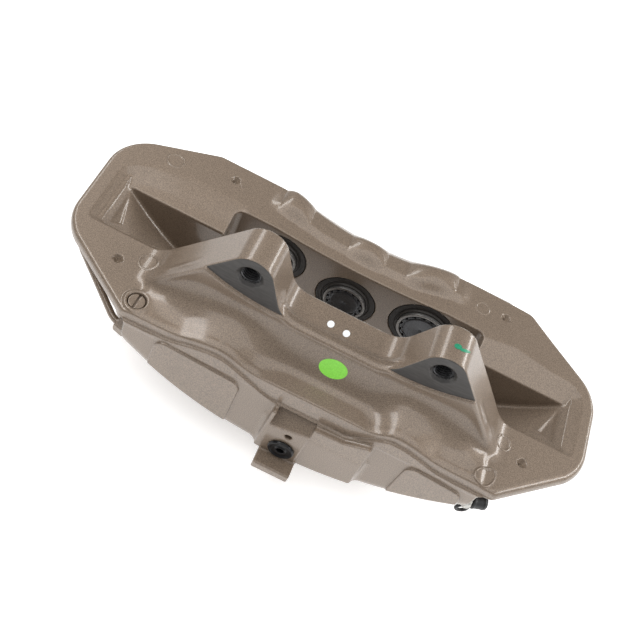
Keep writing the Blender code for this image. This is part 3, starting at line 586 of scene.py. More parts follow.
def window_drop(x, y):
    """How far the flats fall to an end window: a scoop outboard, a chamfer at the end, a soft edge inboard."""
    ax = np.abs(x)
    right = np.interp(ax, *zip(*BROW_RIGHT))
    left = np.interp(ax, *zip(*BROW_LEFT))
    brow = np.where(x > 0, right, left)
    depth = np.where(x > 0, SCOOP_RIGHT, SCOOP_LEFT)
    fall = (brow - y) / np.maximum(brow - SLOT_HALF, 2.0)
    soft = BROW_SOFT / np.maximum(brow - SLOT_HALF, 2.0)
    scoop = depth * (0.5 * (fall + np.hypot(fall, soft)) - 0.12 * soft)
    within = -corner_max(ax - WINDOW_END, y - brow - 1.0, WINDOW_ROUND, 0.25)
    within = -round_max(-within, -y - SLOT_HALF - 3.0, 4.0)
    end = soft_min(np.where(x > 0, 0.46, 0.64) * within, WINDOW_SHELF, 0.6)
    end = np.maximum(end, WINDOW_SHELF + 1.2 * (WINDOW_INNER - ax))
    inner = 0.8 * (y + SLOT_HALF + 3.0)
    drop = np.minimum(soft_min(scoop, end, 1.6), inner)
    return np.maximum(drop, 0.0) * ease((ax - 88.0) / 8.0)


def drilled_spots(x, y):
    """Four shallow holes with sloping sides."""
    height = 0.0
    for px, py in SPOTS:
        height = height - 1.3 * np.clip(SPOT_RADIUS - np.hypot(x - px, y - py), 0.0, SPOT_RADIUS)
    return height


def top_height(x, y):
    """Height of everything that is seen from above, apart from flank, arms and rail."""
    return ridge_height(x, y) - window_drop(x, y) + drilled_spots(x, y)


def swell(x):
    """Height of the flank's shelf: low in the middle, high over the outer bores, level with the flats at its ends."""
    ax = np.abs(x)
    away = np.clip((ax - 60.0) / 62.0, 0.0, 1.0)
    climb = np.where(x > 0, ease((ax - 31.0) / 31.0), ease((ax - 14.0) / 50.0))
    return -8.0 + 8.4 * ease((ax - FLANK_REACH) / 35.0 + 1.0) + 17.5 * climb * (1.0 - away ** 2) ** 2


def flank_height(x, y):
    """The flank: a rounded edge over the inboard face, then a shelf that rises to the rail's foot."""
    base = swell(x)
    rise = np.clip((y - FLANK_SHELF) / (-LUG_FACE - FLANK_SHELF), 0.0, 1.2)
    over = np.clip(FLANK_SHELF - y, 0.0, FLANK_ROUND)
    crown = soft_min(FLANK_TOP, base + FLANK_REACH - np.abs(x), 14.0)
    sweep = 0.35 * rise + 0.65 * rise ** 2.2
    return base + (crown - base) * sweep - FLANK_ROUND + np.sqrt(FLANK_ROUND ** 2 - over ** 2)


print("height maps ready")


# %% [markdown]
# ## All of it together
# The order is the order of a foundry and a machine shop: the cast masses first, joined with wide blends, then
# the cuts, which have tight edges. Each line is one shape, and the last number of a blend is its width.

# %% The casting's field
PANEL = inset([(-119.0, -57.0), (121.0, -57.0), (121.0, -5.0), (-119.0, -5.0)], 12.0)
LEFT_PAD = inset([(-103.0, -80.0), (-40.0, -80.0), (-41.0, -14.0), (-101.0, -9.0)], 7.0)
RIGHT_PAD = inset([(76.0, -80.0), (120.0, -80.0), (118.0, -15.0), (77.0, -11.0)], 7.0)
SEAT = inset([(-15.5, -75.0), (14.2, -75.0), (14.2, -17.0), (-15.5, -17.0)], 2.0)
SHELF = inset([(12.0, -75.0), (54.0, -75.0), (51.5, -8.5), (34.0, -16.5), (12.0, -17.5)], 2.0)
SEAT_TOP = -30.5
SEAT_LEAN = 0.245
HOLLOW_SLOPE = 1.1
HOLLOW_TOP = -16.6
HOLLOW_BACK = -69.0
TAB = inset([(-11.0, -72.5), (15.5, -72.5), (15.5, -64.8), (-11.0, -64.8)], 1.0)
WINDOW = inset([(13.0, -36.0), (90.0, -36.0), (90.0, 36.0), (13.0, 36.0)], 10.0)
POCKET = inset([
    (-POCKET_HALF, -PAD_WALL), (POCKET_HALF, -PAD_WALL), (POCKET_HALF, PAD_WALL), (-POCKET_HALF, PAD_WALL)], 5.0)
GALLERY = (-122.0, -66.0)
INLET = (2.0, -54.5)
PIN_HOLE = (2.0, -38.0)


def cast_masses(x, y, z):
    """Flats, blocks, flank, face pads, inlet block, arms, lugs and rail."""
    ax = np.abs(x)
    radius = np.hypot(x, z - AXIS_RISE)
    top = (z - top_height(x, y)) * 0.8
    edge = 2.8 + 2.4 * ease((x - 90.0) / 60.0)
    flange = round_max(flange_plan(x, y), top, edge)
    flange = soft_max(flange, -FLANGE_THICKNESS - z, 2.0)
    core = soft_max(outline_field(x, y, CORE), np.maximum(top, z + 2.0), 3.0)
    body = soft_min(core, flange, 0.05 + 3.5 * ease((-4.0 - z) / 4.0))
    panel = plate(outline_field(x, z, PANEL, 12.0), y, 70.0, OUTBOARD_FACE + 4.0, 1.5)
    body = soft_min(body, soft_max(panel, top, 3.0), 2.0)
    flank = soft_max((z - flank_height(x, y)) * 0.72, np.maximum(ax - FLANK_REACH, -8.0 - z), 3.0)
    flank = soft_max(flank, np.maximum(y + 44.0, -INBOARD_FACE - y), 1.0)
    body = soft_min(body, flank, 4.0)
    cone_in = ((radius - OUTER_RADIUS) * 24.0 + (-54.0 - y) * 33.0) / 40.8
    cone_out = ((radius - OUTER_RADIUS) * 22.0 + (y - 58.0) * 33.0) / 39.7
    back = soft_max(soft_max(radius - OUTER_RADIUS, cone_in, 6.0), cone_out, 6.0)
    body = soft_max(body, back, 3.0 + 11.0 * ease((ax - 125.0) / 25.0) * ease((-14.0 - z) / 8.0))
    under = z - swell(x)
    rim = -INBOARD_FACE + 1.8 * ease((under + 8.2) / 1.4)
    body = soft_max(body, rim - y, 0.9)
    for pad in (LEFT_PAD, RIGHT_PAD):
        raised = plate(outline_field(x, z, pad, 7.0), y, -INBOARD_FACE - 1.3, -70.0, 0.6)
        body = soft_min(body, soft_max(raised, radius - FACE_RADIUS, 2.0), 0.6)
    seat = plate(outline_field(x, z, SEAT, 2.0), y, -SEAT_FACE, -70.0, 0.8)
    shelf = plate(outline_field(x, z, SHELF, 2.0), y, -SEAT_FACE + 0.7, -70.0, 0.8)
    body = soft_min(body, soft_max(np.minimum(seat, shelf), radius - FACE_RADIUS, 2.0), 2.0 + 4.5 * ease((-24.0 - z) / 8.0))
    above = (z - SEAT_TOP - SEAT_LEAN * x - HOLLOW_SLOPE * (y + SEAT_FACE)) / math.hypot(1.0, HOLLOW_SLOPE)
    hollow = np.maximum(np.maximum(-above, np.abs(x - 0.6) - 13.2), np.maximum(y - HOLLOW_BACK, z - HOLLOW_TOP))
    body = soft_max(body, -hollow, 1.2)
    tab = plate(outline_field(x, z, TAB, 1.0), y, -95.0, -80.0, 1.0)
    body = soft_min(body, tab, 1.0)
    lugs = plate(lug_front(x, z), y, -49.5, -SLOT_HALF + 4.0, 2.2)
    body = soft_min(body, lugs, 7.0)
    spot = np.hypot(x - GALLERY[0], y - GALLERY[1])
    return soft_min(body, plate(spot - 8.5, z, -6.0, 1.5, 1.0), 1.5)


def machined_cuts(x, y, z):
    """Everything taken out: lug faces, disc slot, pad pocket, back windows, bores, threads, inlet and ports."""
    ax = np.abs(x)
    radius = np.hypot(x, z - AXIS_RISE)
    face = np.maximum(soft_max(y + LUG_FACE, ledge(ax) - z, 0.4), 30.0 - ax)
    slot = soft_max(radius - SLOT_RADIUS, np.abs(y) - SLOT_HALF, 3.0)
    pocket = soft_max(radius - POCKET_RADIUS, outline_field(x, y, POCKET, 5.0), 3.0)
    pocket = soft_max(pocket, np.minimum(-SLOT_HALF - y, z - 2.0), 1.0)
    window = plate(outline_field(ax, y, WINDOW, 10.0), z, -140.0, -20.0, 1.0)
    cut = np.minimum(np.minimum(face, slot), np.minimum(pocket, window))
    depth = np.abs(y) - PAD_WALL
    for name, px, r in PISTONS:
        away = np.hypot(x - px, z - piston_height(px))
        hole = np.minimum(np.maximum(away - r - 6.8, depth - 4.5), np.maximum(away - r - 0.3, depth - 31.0))
        cut = np.minimum(cut, np.maximum(hole, -depth - 6.0))
    thread = np.hypot(ax - LUG_X, z - LUG_RISE)
    countersink = np.maximum(thread - 8.6 + np.maximum(y + LUG_FACE, 0.0), y + LUG_FACE - 2.2)
    cut = np.minimum(cut, np.maximum(np.minimum(thread - 6.6, countersink), -y - 70.0))
    inlet = np.maximum(np.hypot(x - INLET[0], z - INLET[1]) - 5.0, y + SEAT_FACE - 9.0)
    pin = np.maximum(np.hypot(x - PIN_HOLE[0], z - PIN_HOLE[1]) - 2.5, y + SEAT_FACE - 5.0)
    cut = np.minimum(cut, np.minimum(inlet, pin))
    spot = np.hypot(x - GALLERY[0], y - GALLERY[1])
    cut = np.minimum(cut, plate(spot - 6.0, z, -6.0, 9.0, 0.4))
    for end in ENDS.values():
        along, seat_at = end["along"], end["seat"]
        run = (x - seat_at[0]) * along[0] + (y - seat_at[1]) * along[1]
        off = np.hypot((y - seat_at[1]) * along[0] - (x - seat_at[0]) * along[1], z + PORT_DROP)
        cut = np.minimum(cut, np.maximum(off - 4.2, np.abs(run) - PORT_DEPTH))
    return cut


def casting(x, y, z):
    """The whole body as one field, in millimetres: masses, less the flat back, less the cuts."""
    body = soft_max(cast_masses(x, y, z), -REST - z, 2.0)
    return soft_max(body, -machined_cuts(x, y, z), 1.2)


# %% [markdown]
# ## Finishes
# One recipe serves most pieces: a base colour that a fine noise lightens and darkens, a roughness that a broad
# noise shifts, and a slight bump from the fine noise. The paint has more: bright flakes under a clear coat, and
# a bare grey metal where the body's "machined" attribute is one.


# %% Finish tools
FINE_BUMP = 0.00002


def new_material(name):
    material = bpy.data.materials.new(name)
    material.use_nodes = True
    tree = material.node_tree
    return material, tree.nodes, tree.links, tree.nodes["Principled BSDF"]


def noise(nodes, links, coords, scale, detail=3.0, stretch=None):
    """A noise in object space, with its own grain per metre."""
    texture = nodes.new("ShaderNodeTexNoise")
    texture.inputs["Scale"].default_value = scale
    texture.inputs["Detail"].default_value = detail
    source = coords.outputs["Object"]
    if stretch:
        mapping = nodes.new("ShaderNodeMapping")
        mapping.inputs["Scale"].default_value = stretch
        links.new(source, mapping.inputs["Vector"])
        source = mapping.outputs["Vector"]
    links.new(source, texture.inputs["Vector"])
    return texture.outputs["Fac"]


def remap(nodes, links, value, low, high, start=0.3, end=0.7):
    """A value moved from one range to another."""
    step = nodes.new("ShaderNodeMapRange")
    step.inputs["From Min"].default_value = start
    step.inputs["From Max"].default_value = end
    step.inputs["To Min"].default_value = low
    step.inputs["To Max"].default_value = high
    links.new(value, step.inputs["Value"])
    return step.outputs["Result"]


def mixed(nodes, links, factor, a, b):
    """Two colours mixed by a factor; each is a colour or a socket."""
    mix = nodes.new("ShaderNodeMix")
    mix.data_type = "RGBA"
    links.new(factor, mix.inputs["Factor"])
    for socket, value in ((mix.inputs["A"], a), (mix.inputs["B"], b)):
        if isinstance(value, tuple):
            socket.default_value = (*value, 1.0)
        else:
            links.new(value, socket)
    return mix.outputs["Result"]


def bumped(nodes, links, shader, height, distance, strength=1.0):
    bump = nodes.new("ShaderNodeBump")
    bump.inputs["Distance"].default_value = distance
    bump.inputs["Strength"].default_value = strength
    links.new(height, bump.inputs["Height"])
    links.new(bump.outputs["Normal"], shader.inputs["Normal"])
    return bump


def finish(name, dark, light, roughness, metallic, grain=900.0, sheen=0.5):
    """The common recipe: two tones of one colour in a fine grain, uneven gloss, a slight bump."""
    material, nodes, links, shader = new_material(name)
    coords = nodes.new("ShaderNodeTexCoord")
    fine = noise(nodes, links, coords, grain)
    broad = noise(nodes, links, coords, 60.0, 2.0)
    links.new(mixed(nodes, links, remap(nodes, links, fine, 0.0, 1.0), dark, light), shader.inputs["Base Color"])
    links.new(remap(nodes, links, broad, roughness - 0.06, roughness + 0.08), shader.inputs["Roughness"])
    shader.inputs["Metallic"].default_value = metallic
    shader.inputs["Specular IOR Level"].default_value = sheen
    bumped(nodes, links, shader, fine, FINE_BUMP)
    return material


def reckon(nodes, links, operation, *values):
    """One arithmetic node; each value is a number or a socket."""
    step = nodes.new("ShaderNodeMath")
    step.operation = operation
    for socket, value in zip(step.inputs, values):
        if isinstance(value, float):
            socket.default_value = value
        else:
            links.new(value, socket)
    return step.outputs["Value"]


def bare_mask(nodes, links, coords):
    """One in the lugs' holes, and on the lug-face plane above the ledge's curve where the surface looks inboard."""
    inside = nodes.new("ShaderNodeAttribute")
    inside.attribute_name = "machined"
    place = nodes.new("ShaderNodeSeparateXYZ")
    links.new(coords.outputs["Object"], place.inputs["Vector"])
    facing = nodes.new("ShaderNodeSeparateXYZ")
    links.new(nodes.new("ShaderNodeNewGeometry").outputs["Normal"], facing.inputs["Vector"])
    plane = reckon(nodes, links, "COMPARE", place.outputs["Y"], DISC_PLANE - LUG_FACE * MM, 0.6 * MM)
    square = reckon(nodes, links, "LESS_THAN", facing.outputs["Y"], -0.8)
    t = reckon(nodes, links, "ABSOLUTE", place.outputs["X"])
    t = reckon(nodes, links, "MULTIPLY_ADD", t, 1.0 / MM, -37.0)
    curve = reckon(nodes, links, "MULTIPLY_ADD", t, 0.004664, -0.0674)
    curve = reckon(nodes, links, "MULTIPLY_ADD", curve, t, 30.1)
    rise = reckon(nodes, links, "MULTIPLY_ADD", place.outputs["Z"], 1.0 / MM, -FLATS / MM)
    face = reckon(nodes, links, "GREATER_THAN", rise, curve)
    face = reckon(nodes, links, "MULTIPLY", face, plane)
    face = reckon(nodes, links, "MULTIPLY", face, square)
    return reckon(nodes, links, "MAXIMUM", inside.outputs["Fac"], face)


def bronze_paint(name, machined=False):
    """Satin bronze metallic: flakes of two browns, a fine skin like orange peel, and a thin clear coat."""
    material, nodes, links, shader = new_material(name)
    coords = nodes.new("ShaderNodeTexCoord")
    flakes = noise(nodes, links, coords, 1700.0, 2.0)
    peel = noise(nodes, links, coords, 700.0, 3.0)
    cloud = noise(nodes, links, coords, 25.0, 2.0)
    colour = mixed(nodes, links, remap(nodes, links, flakes, 0.0, 1.0), PAINT_DARK, PAINT_LIGHT)
    rough = remap(nodes, links, cloud, 0.46, 0.54)
    if machined:
        bare = bare_mask(nodes, links, coords)
        cuts = noise(nodes, links, coords, 900.0, 2.0, (0.15, 1.0, 1.0))
        grey = mixed(nodes, links, remap(nodes, links, cuts, 0.0, 1.0), (0.074, 0.071, 0.069), (0.094, 0.090, 0.087))
        colour = mixed(nodes, links, bare, colour, grey)
        metal = remap(nodes, links, bare, PAINT_METAL, 0.8, 0.0, 1.0)
        links.new(metal, shader.inputs["Metallic"])
        coat = remap(nodes, links, bare, PAINT_COAT, 0.0, 0.0, 1.0)
        links.new(coat, shader.inputs["Coat Weight"])
    else:
        shader.inputs["Metallic"].default_value = PAINT_METAL
        shader.inputs["Coat Weight"].default_value = PAINT_COAT
    links.new(colour, shader.inputs["Base Color"])
    links.new(rough, shader.inputs["Roughness"])
    shader.inputs["Coat Roughness"].default_value = 0.16
    both = nodes.new("ShaderNodeMath")
    both.operation = "ADD"
    links.new(remap(nodes, links, flakes, 0.0, 0.35, 0.0, 1.0), both.inputs[0])
    links.new(peel, both.inputs[1])
    bumped(nodes, links, shader, both.outputs["Value"], 0.00006)
    return material


PAINT_DARK = (0.125, 0.092, 0.064)
PAINT_LIGHT = (0.285, 0.214, 0.156)
PAINT_METAL = 0.3
PAINT_COAT = 0.8
paint = bronze_paint("bronze_paint", machined=True)
fitting_paint = bronze_paint("fitting_paint")
piston_metal = finish("piston_metal", (0.16, 0.155, 0.15), (0.26, 0.25, 0.24), 0.38, 0.85)
insert_dark = finish("insert_dark", (0.050, 0.051, 0.054), (0.095, 0.098, 0.104), 0.34, 0.7)
boot_rubber = finish("boot_rubber", (0.026, 0.023, 0.021), (0.042, 0.038, 0.034), 0.5, 0.0, 1200.0, 0.3)
seal_rubber = finish("seal_rubber", (0.015, 0.015, 0.015), (0.03, 0.03, 0.03), 0.5, 0.0)
zinc = finish("bleed_zinc", (0.34, 0.33, 0.31), (0.52, 0.51, 0.48), 0.36, 0.9)
cap_rubber = finish("cap_rubber", (0.012, 0.012, 0.013), (0.03, 0.03, 0.032), 0.48, 0.0, 1400.0)
plug_plastic = finish("plug_plastic", (0.004, 0.004, 0.005), (0.010, 0.010, 0.011), 0.3, 0.0, 1100.0, 0.25)
thread_metal = finish("thread_metal", (0.05, 0.05, 0.052), (0.11, 0.11, 0.115), 0.34, 0.8)
white_paint = finish("white_paint", (0.80, 0.82, 0.84), (0.90, 0.92, 0.93), 0.4, 0.0)
green_paper = finish("green_paper", (0.24, 0.72, 0.07), (0.30, 0.84, 0.09), 0.42, 0.0)
green_paint = finish("green_paint", (0.01, 0.20, 0.10), (0.02, 0.30, 0.16), 0.35, 0.0)
print("finishes:", len(bpy.data.materials))

# %% [markdown]
# ## The body
# The field becomes a mesh. Its flat parts need few triangles and its blends many, so a decimation takes out the
# ones that the flat parts can spare, and the normals are set again from the field's slope.


# %% Body
BODY_STEP = 1.0 if FINE else 2.0
BODY_TRIANGLES = 192000


def thinned(item, target):
    """The object's mesh with about target triangles, taken first from where it is flat."""
    count = 2 * len(item.data.polygons)
    if count <= target:
        return
    step = item.modifiers.new("thin", "DECIMATE")
    step.ratio = target / count
    graph = bpy.context.evaluated_depsgraph_get()
    mesh = bpy.data.meshes.new_from_object(item.evaluated_get(graph))
    item.modifiers.clear()
    spare = item.data
    item.data = mesh
    bpy.data.meshes.remove(spare)


def vertex_places(mesh):
    """A mesh's points as an array, back in millimetres from the caliper's zero."""
    places = np.empty(len(mesh.vertices) * 3, np.float32)
    mesh.vertices.foreach_get("co", places)
    return (places.reshape(-1, 3) - np.array([0.0, DISC_PLANE, FLATS])) / MM


def build_body():
    points, faces = skin(casting, (-194.0, -98.0, -97.0), (194.0, 87.0, 68.0), BODY_STEP)
    body = mesh_from("caliper_casting", points, faces, paint)
    thinned(body, BODY_TRIANGLES)
    mesh = body.data
    places = vertex_places(mesh)
    normals = slope(casting, places, 0.08)
    normals /= np.maximum(np.linalg.norm(normals, axis=1), 1e-6)[:, None]
    mesh.normals_split_custom_set_from_vertices(normals.tolist())
    x, y, z = places.T
    in_hole = (np.hypot(np.abs(x) - LUG_X, z - LUG_RISE) < 9.0) & (y > -LUG_FACE - 0.4) & (y < -19.0)
    bare = mesh.attributes.new("machined", "FLOAT", "POINT")
    bare.data.foreach_set("value", in_hole.astype(np.float32))
    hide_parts("caliper_body")
    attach(body, "caliper")
    print("body:", len(mesh.vertices), "points,", len(mesh.loop_triangles) or len(mesh.polygons), "faces")


build_body()

# %% [markdown]
# ## Turned, swept and gridded pieces
# A lathe part is a profile spun about an axis, and a pipe is a circle carried along a path: both are grids of
# two parameters, so one function turns any grid into faces. Corners of a profile are eased by a short curve.


# %% Grid tools
def grid_faces(rows, columns, wrap):
    """Four-sided faces of a grid, row by row; wrap joins the last column to the first."""
    i, j = np.meshgrid(np.arange(rows - 1), np.arange(columns if wrap else columns - 1), indexing="ij")
    k = (j + 1) % columns
    quads = np.stack([i * columns + j, i * columns + k, (i + 1) * columns + k, (i + 1) * columns + j], axis=-1)
    return quads.reshape(-1, 4)


def softened(profile, r, closed=False):
    """A profile whose corners are short quadratic curves that start about r before each corner."""
    points = np.array(profile, float)
    before, after = np.roll(points, 1, 0) - points, np.roll(points, -1, 0) - points
    reach_a = np.minimum(r / np.maximum(np.linalg.norm(before, axis=1), 1e-6), 0.48)[:, None]
    reach_b = np.minimum(r / np.maximum(np.linalg.norm(after, axis=1), 1e-6), 0.48)[:, None]
    a, b = points + before * reach_a, points + after * reach_b
    if not closed:
        a[0] = b[0] = points[0]
        a[-1] = b[-1] = points[-1]
    t = np.linspace(0.0, 1.0, 4)[None, :, None]
    curve = (1 - t) ** 2 * a[:, None] + 2 * t * (1 - t) * points[:, None] + t ** 2 * b[:, None]
    if closed:
        return curve.reshape(-1, 2)
    return np.concatenate([points[:1], curve[1:-1].reshape(-1, 2), points[-1:]])


def axis_frame(axis):
    """Two directions square to an axis, the second as nearly upright as can be."""
    axis = np.array(axis, float) / np.linalg.norm(axis)
    aid = np.array([0.0, 0.0, 1.0]) if abs(axis[2]) < 0.9 else np.array([0.0, 1.0, 0.0])
    u = np.cross(aid, axis)
    u /= np.linalg.norm(u)
    return u, np.cross(axis, u), axis


def spun(radius, height, angle, at, axis):
    """Points of (radius, height, angle) arrays about an axis through a place."""
    u, v, w = axis_frame(axis)
    flat = radius[..., None] * (np.cos(angle)[..., None] * u + np.sin(angle)[..., None] * v)
    return (np.array(at) + flat + height[..., None] * w).reshape(-1, 3)


def turned(name, profile, at, axis, material, steps=96, closed=False, ease_by=0.3, shape=None, sharp=40):
    """A lathe part: the profile's (radius, height) carried round the axis; shape may vary the radius with angle."""
    curve = softened(profile, ease_by, closed)
    if closed:
        curve = np.concatenate([curve, curve[:1]])
    angle = np.linspace(0.0, 2 * math.pi, steps, endpoint=False)
    r, t = np.meshgrid(curve[:, 0], angle, indexing="ij")
    h = np.meshgrid(curve[:, 1], angle, indexing="ij")[0]
    if shape is not None:
        r, h = shape(r, h, t)
    faces = grid_faces(len(curve), steps, True)
    return mesh_from(name, spun(r, h, t, at, axis), outward(spun(r, h, t, at, axis), faces), material, sharp)


def outward(points, faces):
    """Faces turned so that the closed surface's volume comes out positive."""
    a, b, c, d = (points[faces[:, i]] for i in range(4))
    volume = np.sum(a * (np.cross(b, c) + np.cross(c, d)))
    return faces if volume > 0 else faces[:, ::-1]


def settled(item, body, slot=None, *nodes):
    """Give a piece its body and hide the nodes that it stands for; the slot is not used."""
    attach(item, body)
    if nodes:
        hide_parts(*nodes)
    return item


# %% [markdown]
# ## Pistons, inserts and boots
# Six pistons of three sizes. Each is a cup with a thin rim, and in its mouth sits a dished insert with a ring of
# vent notches.

# %% Pistons
INSERT_NOTCHES = 14


def piston_cup(label, x, r, sign):
    """A cup turned from one profile. Height runs into the bore from the pad wall."""
    front, back = -PISTON_PROUD, 27.0
    profile = [
        (0.0, back - 5.0), (r - 4.5, back - 5.0), (r - 4.5, front + 5.0), (r - 2.2, front + 5.0),
        (r - 2.2, front), (r - 0.05, front), (r - 0.05, back), (0.0, back)]
    cup = turned("piston_cup_" + label, profile, (x, sign * PAD_WALL, piston_height(x)), (0, sign, 0), piston_metal)
    return settled(cup, "piston_%s_group" % label, "piston_metal", "piston_" + label)


def piston_insert(label, x, r, sign):
    """A dished disc with a dimple, a raised ring and notches cut into its edge by a rounded wave of the angle."""
    edge = r - 2.5
    profile = [
        (0.0, 1.5), (0.7, 1.4), (1.1, 0.75), (edge * 0.55, 0.35), (edge - 3.2, 0.1), (edge - 2.6, 0.75),
        (edge - 2.0, 0.75), (edge - 1.6, 0.15), (edge, 0.25), (edge, 4.4), (0.0, 4.4)]

    def notched(radius, height, angle):
        wave = ease((np.cos(INSERT_NOTCHES * angle) - 0.15) / 0.35)
        outer = ease((radius - edge + 1.7) / 0.8)
        return radius - 1.8 * wave * outer, height

    at = (x, sign * (PAD_WALL - PISTON_PROUD), piston_height(x))
    disc = turned(
        "piston_insert_disc_" + label, profile, at, (0, sign, 0), insert_dark, 14 * INSERT_NOTCHES, False, 0.35, notched)
    return settled(disc, "piston_%s_group" % label, "insert_dark", "piston_insert_" + label)


def piston_boot(label, x, r, sign):
    """A closed section: bead in the recess, flat ring with two shallow folds, lip on the piston."""
    i, o = r + 0.15, r + 6.5
    profile = [
        (o, 4.2), (o, 0.4), (o - 0.5, 0.1), (o - 2.4, 0.25), (i + 2.6, 0.1), (i + 2.1, 0.55), (i + 1.5, 0.55),
        (i + 1.2, -1.1), (i, -1.1), (i, 1.3), (i + 1.6, 1.9), (o - 2.2, 1.9), (o - 2.2, 4.2)]
    at = (x, sign * PAD_WALL, piston_height(x))
    boot = turned("dust_boot_ring_" + label, profile, at, (0, sign, 0), boot_rubber, 96, True, 0.25, None, 50)
    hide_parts("dust_boot_" + label)
    start, end = to_world([(x, sign * (PAD_WALL + 0.9), 0.0), (x, sign * (PAD_WALL - 0.9), 0.0)])
    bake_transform(boot)
    return boot


for side, sign in SIDES:
    for name, x, r in PISTONS:
        label = side + "_" + name
        piston_cup(label, x, r, sign)
        piston_insert(label, x, r, sign)
        piston_boot(label, x, r, sign)
print("pistons:", len(SIDES) * len(PISTONS))

# %% [markdown]
# ## Threads in the lugs
# A thread is a tube whose radius follows a triangle wave of the height, and the wave advances by one pitch in one
# turn. It is put into the lug's hole as a sleeve.

# %% Lug threads
THREAD_PITCH = 1.75


def lug_thread(name, x):
    """Radius 6.65 less a tooth: the tooth is a triangle wave of height and angle."""
    rows, columns = 150, 72
    height, angle = np.meshgrid(
        np.linspace(1.6, 26.8, rows), np.linspace(0.0, 2 * math.pi, columns, endpoint=False), indexing="ij")
    phase = (height / THREAD_PITCH + angle / (2 * math.pi)) % 1.0
    tooth = np.clip(1.15 - 2.3 * np.abs(phase - 0.5) * 2.0, 0.0, 1.0)
    radius = 6.65 - 0.95 * tooth
    points = spun(radius, height, angle, (x, -LUG_FACE, LUG_RISE), (0, 1, 0))
    faces = grid_faces(rows, columns, True)
    sleeve = mesh_from(name, points, faces[:, ::-1], thread_metal)
    return settled(sleeve, "caliper")


lug_thread("lug_thread_left", -LUG_X)
lug_thread("lug_thread_right", LUG_X)
print("two lug threads")

# %% [markdown]
# ## Crossover pipe and nuts
# The pipe leaves the inboard port, goes round the left end under the flats and enters the outboard port. Its path
# is a polyline with an arc at each bend, and a circle is carried along it. A nut is a hexagon whose corners are
# cut back by a cone at each end.

# %% Pipe
PIPE_RADIUS = 2.4
PIPE_BEND = 18.0
PIPE_END_X = 10.0 - END_REACH
PIPE_TURN_Y = -23.2
PIPE_LEAD = 13.0


def bent(corners, r, steps=14):
    """A plan path with an arc of radius r at each inner corner."""
    points = np.array(corners, float)
    path = [points[:1]]
    for before, here, after in zip(points[:-2], points[1:-1], points[2:]):
        a, b = (before - here) / np.linalg.norm(before - here), (after - here) / np.linalg.norm(after - here)
        half = math.acos(float(np.clip(a @ b, -1.0, 1.0))) / 2
        middle = here + (a + b) / np.linalg.norm(a + b) * r / math.sin(half)
        first, last = here + a * r / math.tan(half) - middle, here + b * r / math.tan(half) - middle
        sweep = math.atan2(first[0] * last[1] - first[1] * last[0], first @ last)
        turn = np.linspace(0.0, sweep, steps)[:, None]
        path.append(middle + first * np.cos(turn) + np.array([-first[1], first[0]]) * np.sin(turn))
    return np.concatenate(path + [points[-1:]])


def tube(name, path, radius, material, columns=28):
    """A circle carried along a path of (x, y, z) points, with its ends drawn to the middle."""
    run = np.gradient(path, axis=0)
    run /= np.linalg.norm(run, axis=1)[:, None]
    aside = np.cross(run, [0.0, 0.0, 1.0])
    aside /= np.linalg.norm(aside, axis=1)[:, None]
    above = np.cross(aside, run)
    angle = np.linspace(0.0, 2 * math.pi, columns, endpoint=False)[None, :, None]
    rings = path[:, None] + radius * (np.cos(angle) * aside[:, None] + np.sin(angle) * above[:, None])
    ends = np.ones((1, columns, 1))
    rings = np.concatenate([path[:1, None] * ends, rings, path[-1:, None] * ends])
    points = rings.reshape(-1, 3)
    return mesh_from(name, points, outward(points, grid_faces(len(rings), columns, True)), material, 50)


def build_pipe():
    near, far = ENDS["inboard_left"], ENDS["outboard_left"]
    far_turn = far["seat"] + far["along"] * (PIPE_END_X - far["seat"][0]) / far["along"][0]
    route = bent([
        near["seat"] - near["along"] * PORT_DEPTH / 2, near["seat"] + near["along"] * PIPE_LEAD,
        (PIPE_END_X, PIPE_TURN_Y), far_turn, far["seat"] - far["along"] * PORT_DEPTH / 2], PIPE_BEND)
    path = np.concatenate([route, np.full((len(route), 1), -PORT_DROP)], axis=1)
    pipe = tube("crossover_tube", path, PIPE_RADIUS, fitting_paint)
    settled(pipe, "caliper", "pipe_paint", "crossover_pipe")
    length = np.sum(np.linalg.norm(np.diff(path, axis=0), axis=1))
    print("pipe of %.0f mm" % length)


def hexagon(across):
    """A radius that follows the six flats of a nut, cut back by a cone towards both ends of its height."""
    def shape(radius, height, angle):
        turn = (angle + math.pi / 6) % (math.pi / 3) - math.pi / 6
        return np.minimum(radius, across / 2 / np.cos(turn)), height
    return shape


def hex_body(name, at, axis, across, low, high, bore, material):
    """A nut: the cones come from the profile, the flats from the hexagon's radius."""
    tip = across / math.sqrt(3)
    flat = across / 2
    profile = [
        (bore, low), (flat * 0.97, low), (tip, low + 0.9), (tip, high - 0.9), (flat * 0.97, high), (bore, high),
        (bore, high - 0.5), (bore, low + 0.5)]
    return turned(name, profile, at, axis, material, 96, True, 0.12, hexagon(across), 30)


build_pipe()
for name in ("inboard_left", "outboard_left"):
    end = ENDS[name]
    nut = hex_body(
        "pipe_nut_" + name, (*end["seat"], -PORT_DROP), (*end["along"], 0.0), 10.0, 0.2, 9.0, 2.5, fitting_paint)
    settled(nut, "caliper", "pipe_paint", "crossover_nut_" + name)
print("two pipe nuts")

# %% [markdown]
# ## Bleed screws and caps
# A bleed screw is turned, with a hexagon at its root and a barbed nipple. Its rubber cap is a soft cup with a
# strap that ends in a loop, so it is made as a small field: cup, strap and loop melt into one moulding.

# %% Bleed screws
HEX_LENGTH = 5.0
NIPPLE_RADIUS = 3.2
NIPPLE_LENGTH = 9.5
CAP_WALL = 1.6
CAP_LENGTH = 10.8
STRAP_RADIUS = 4.0
STRAP_THICKNESS = 1.2
STRAP_DROP = 12.5


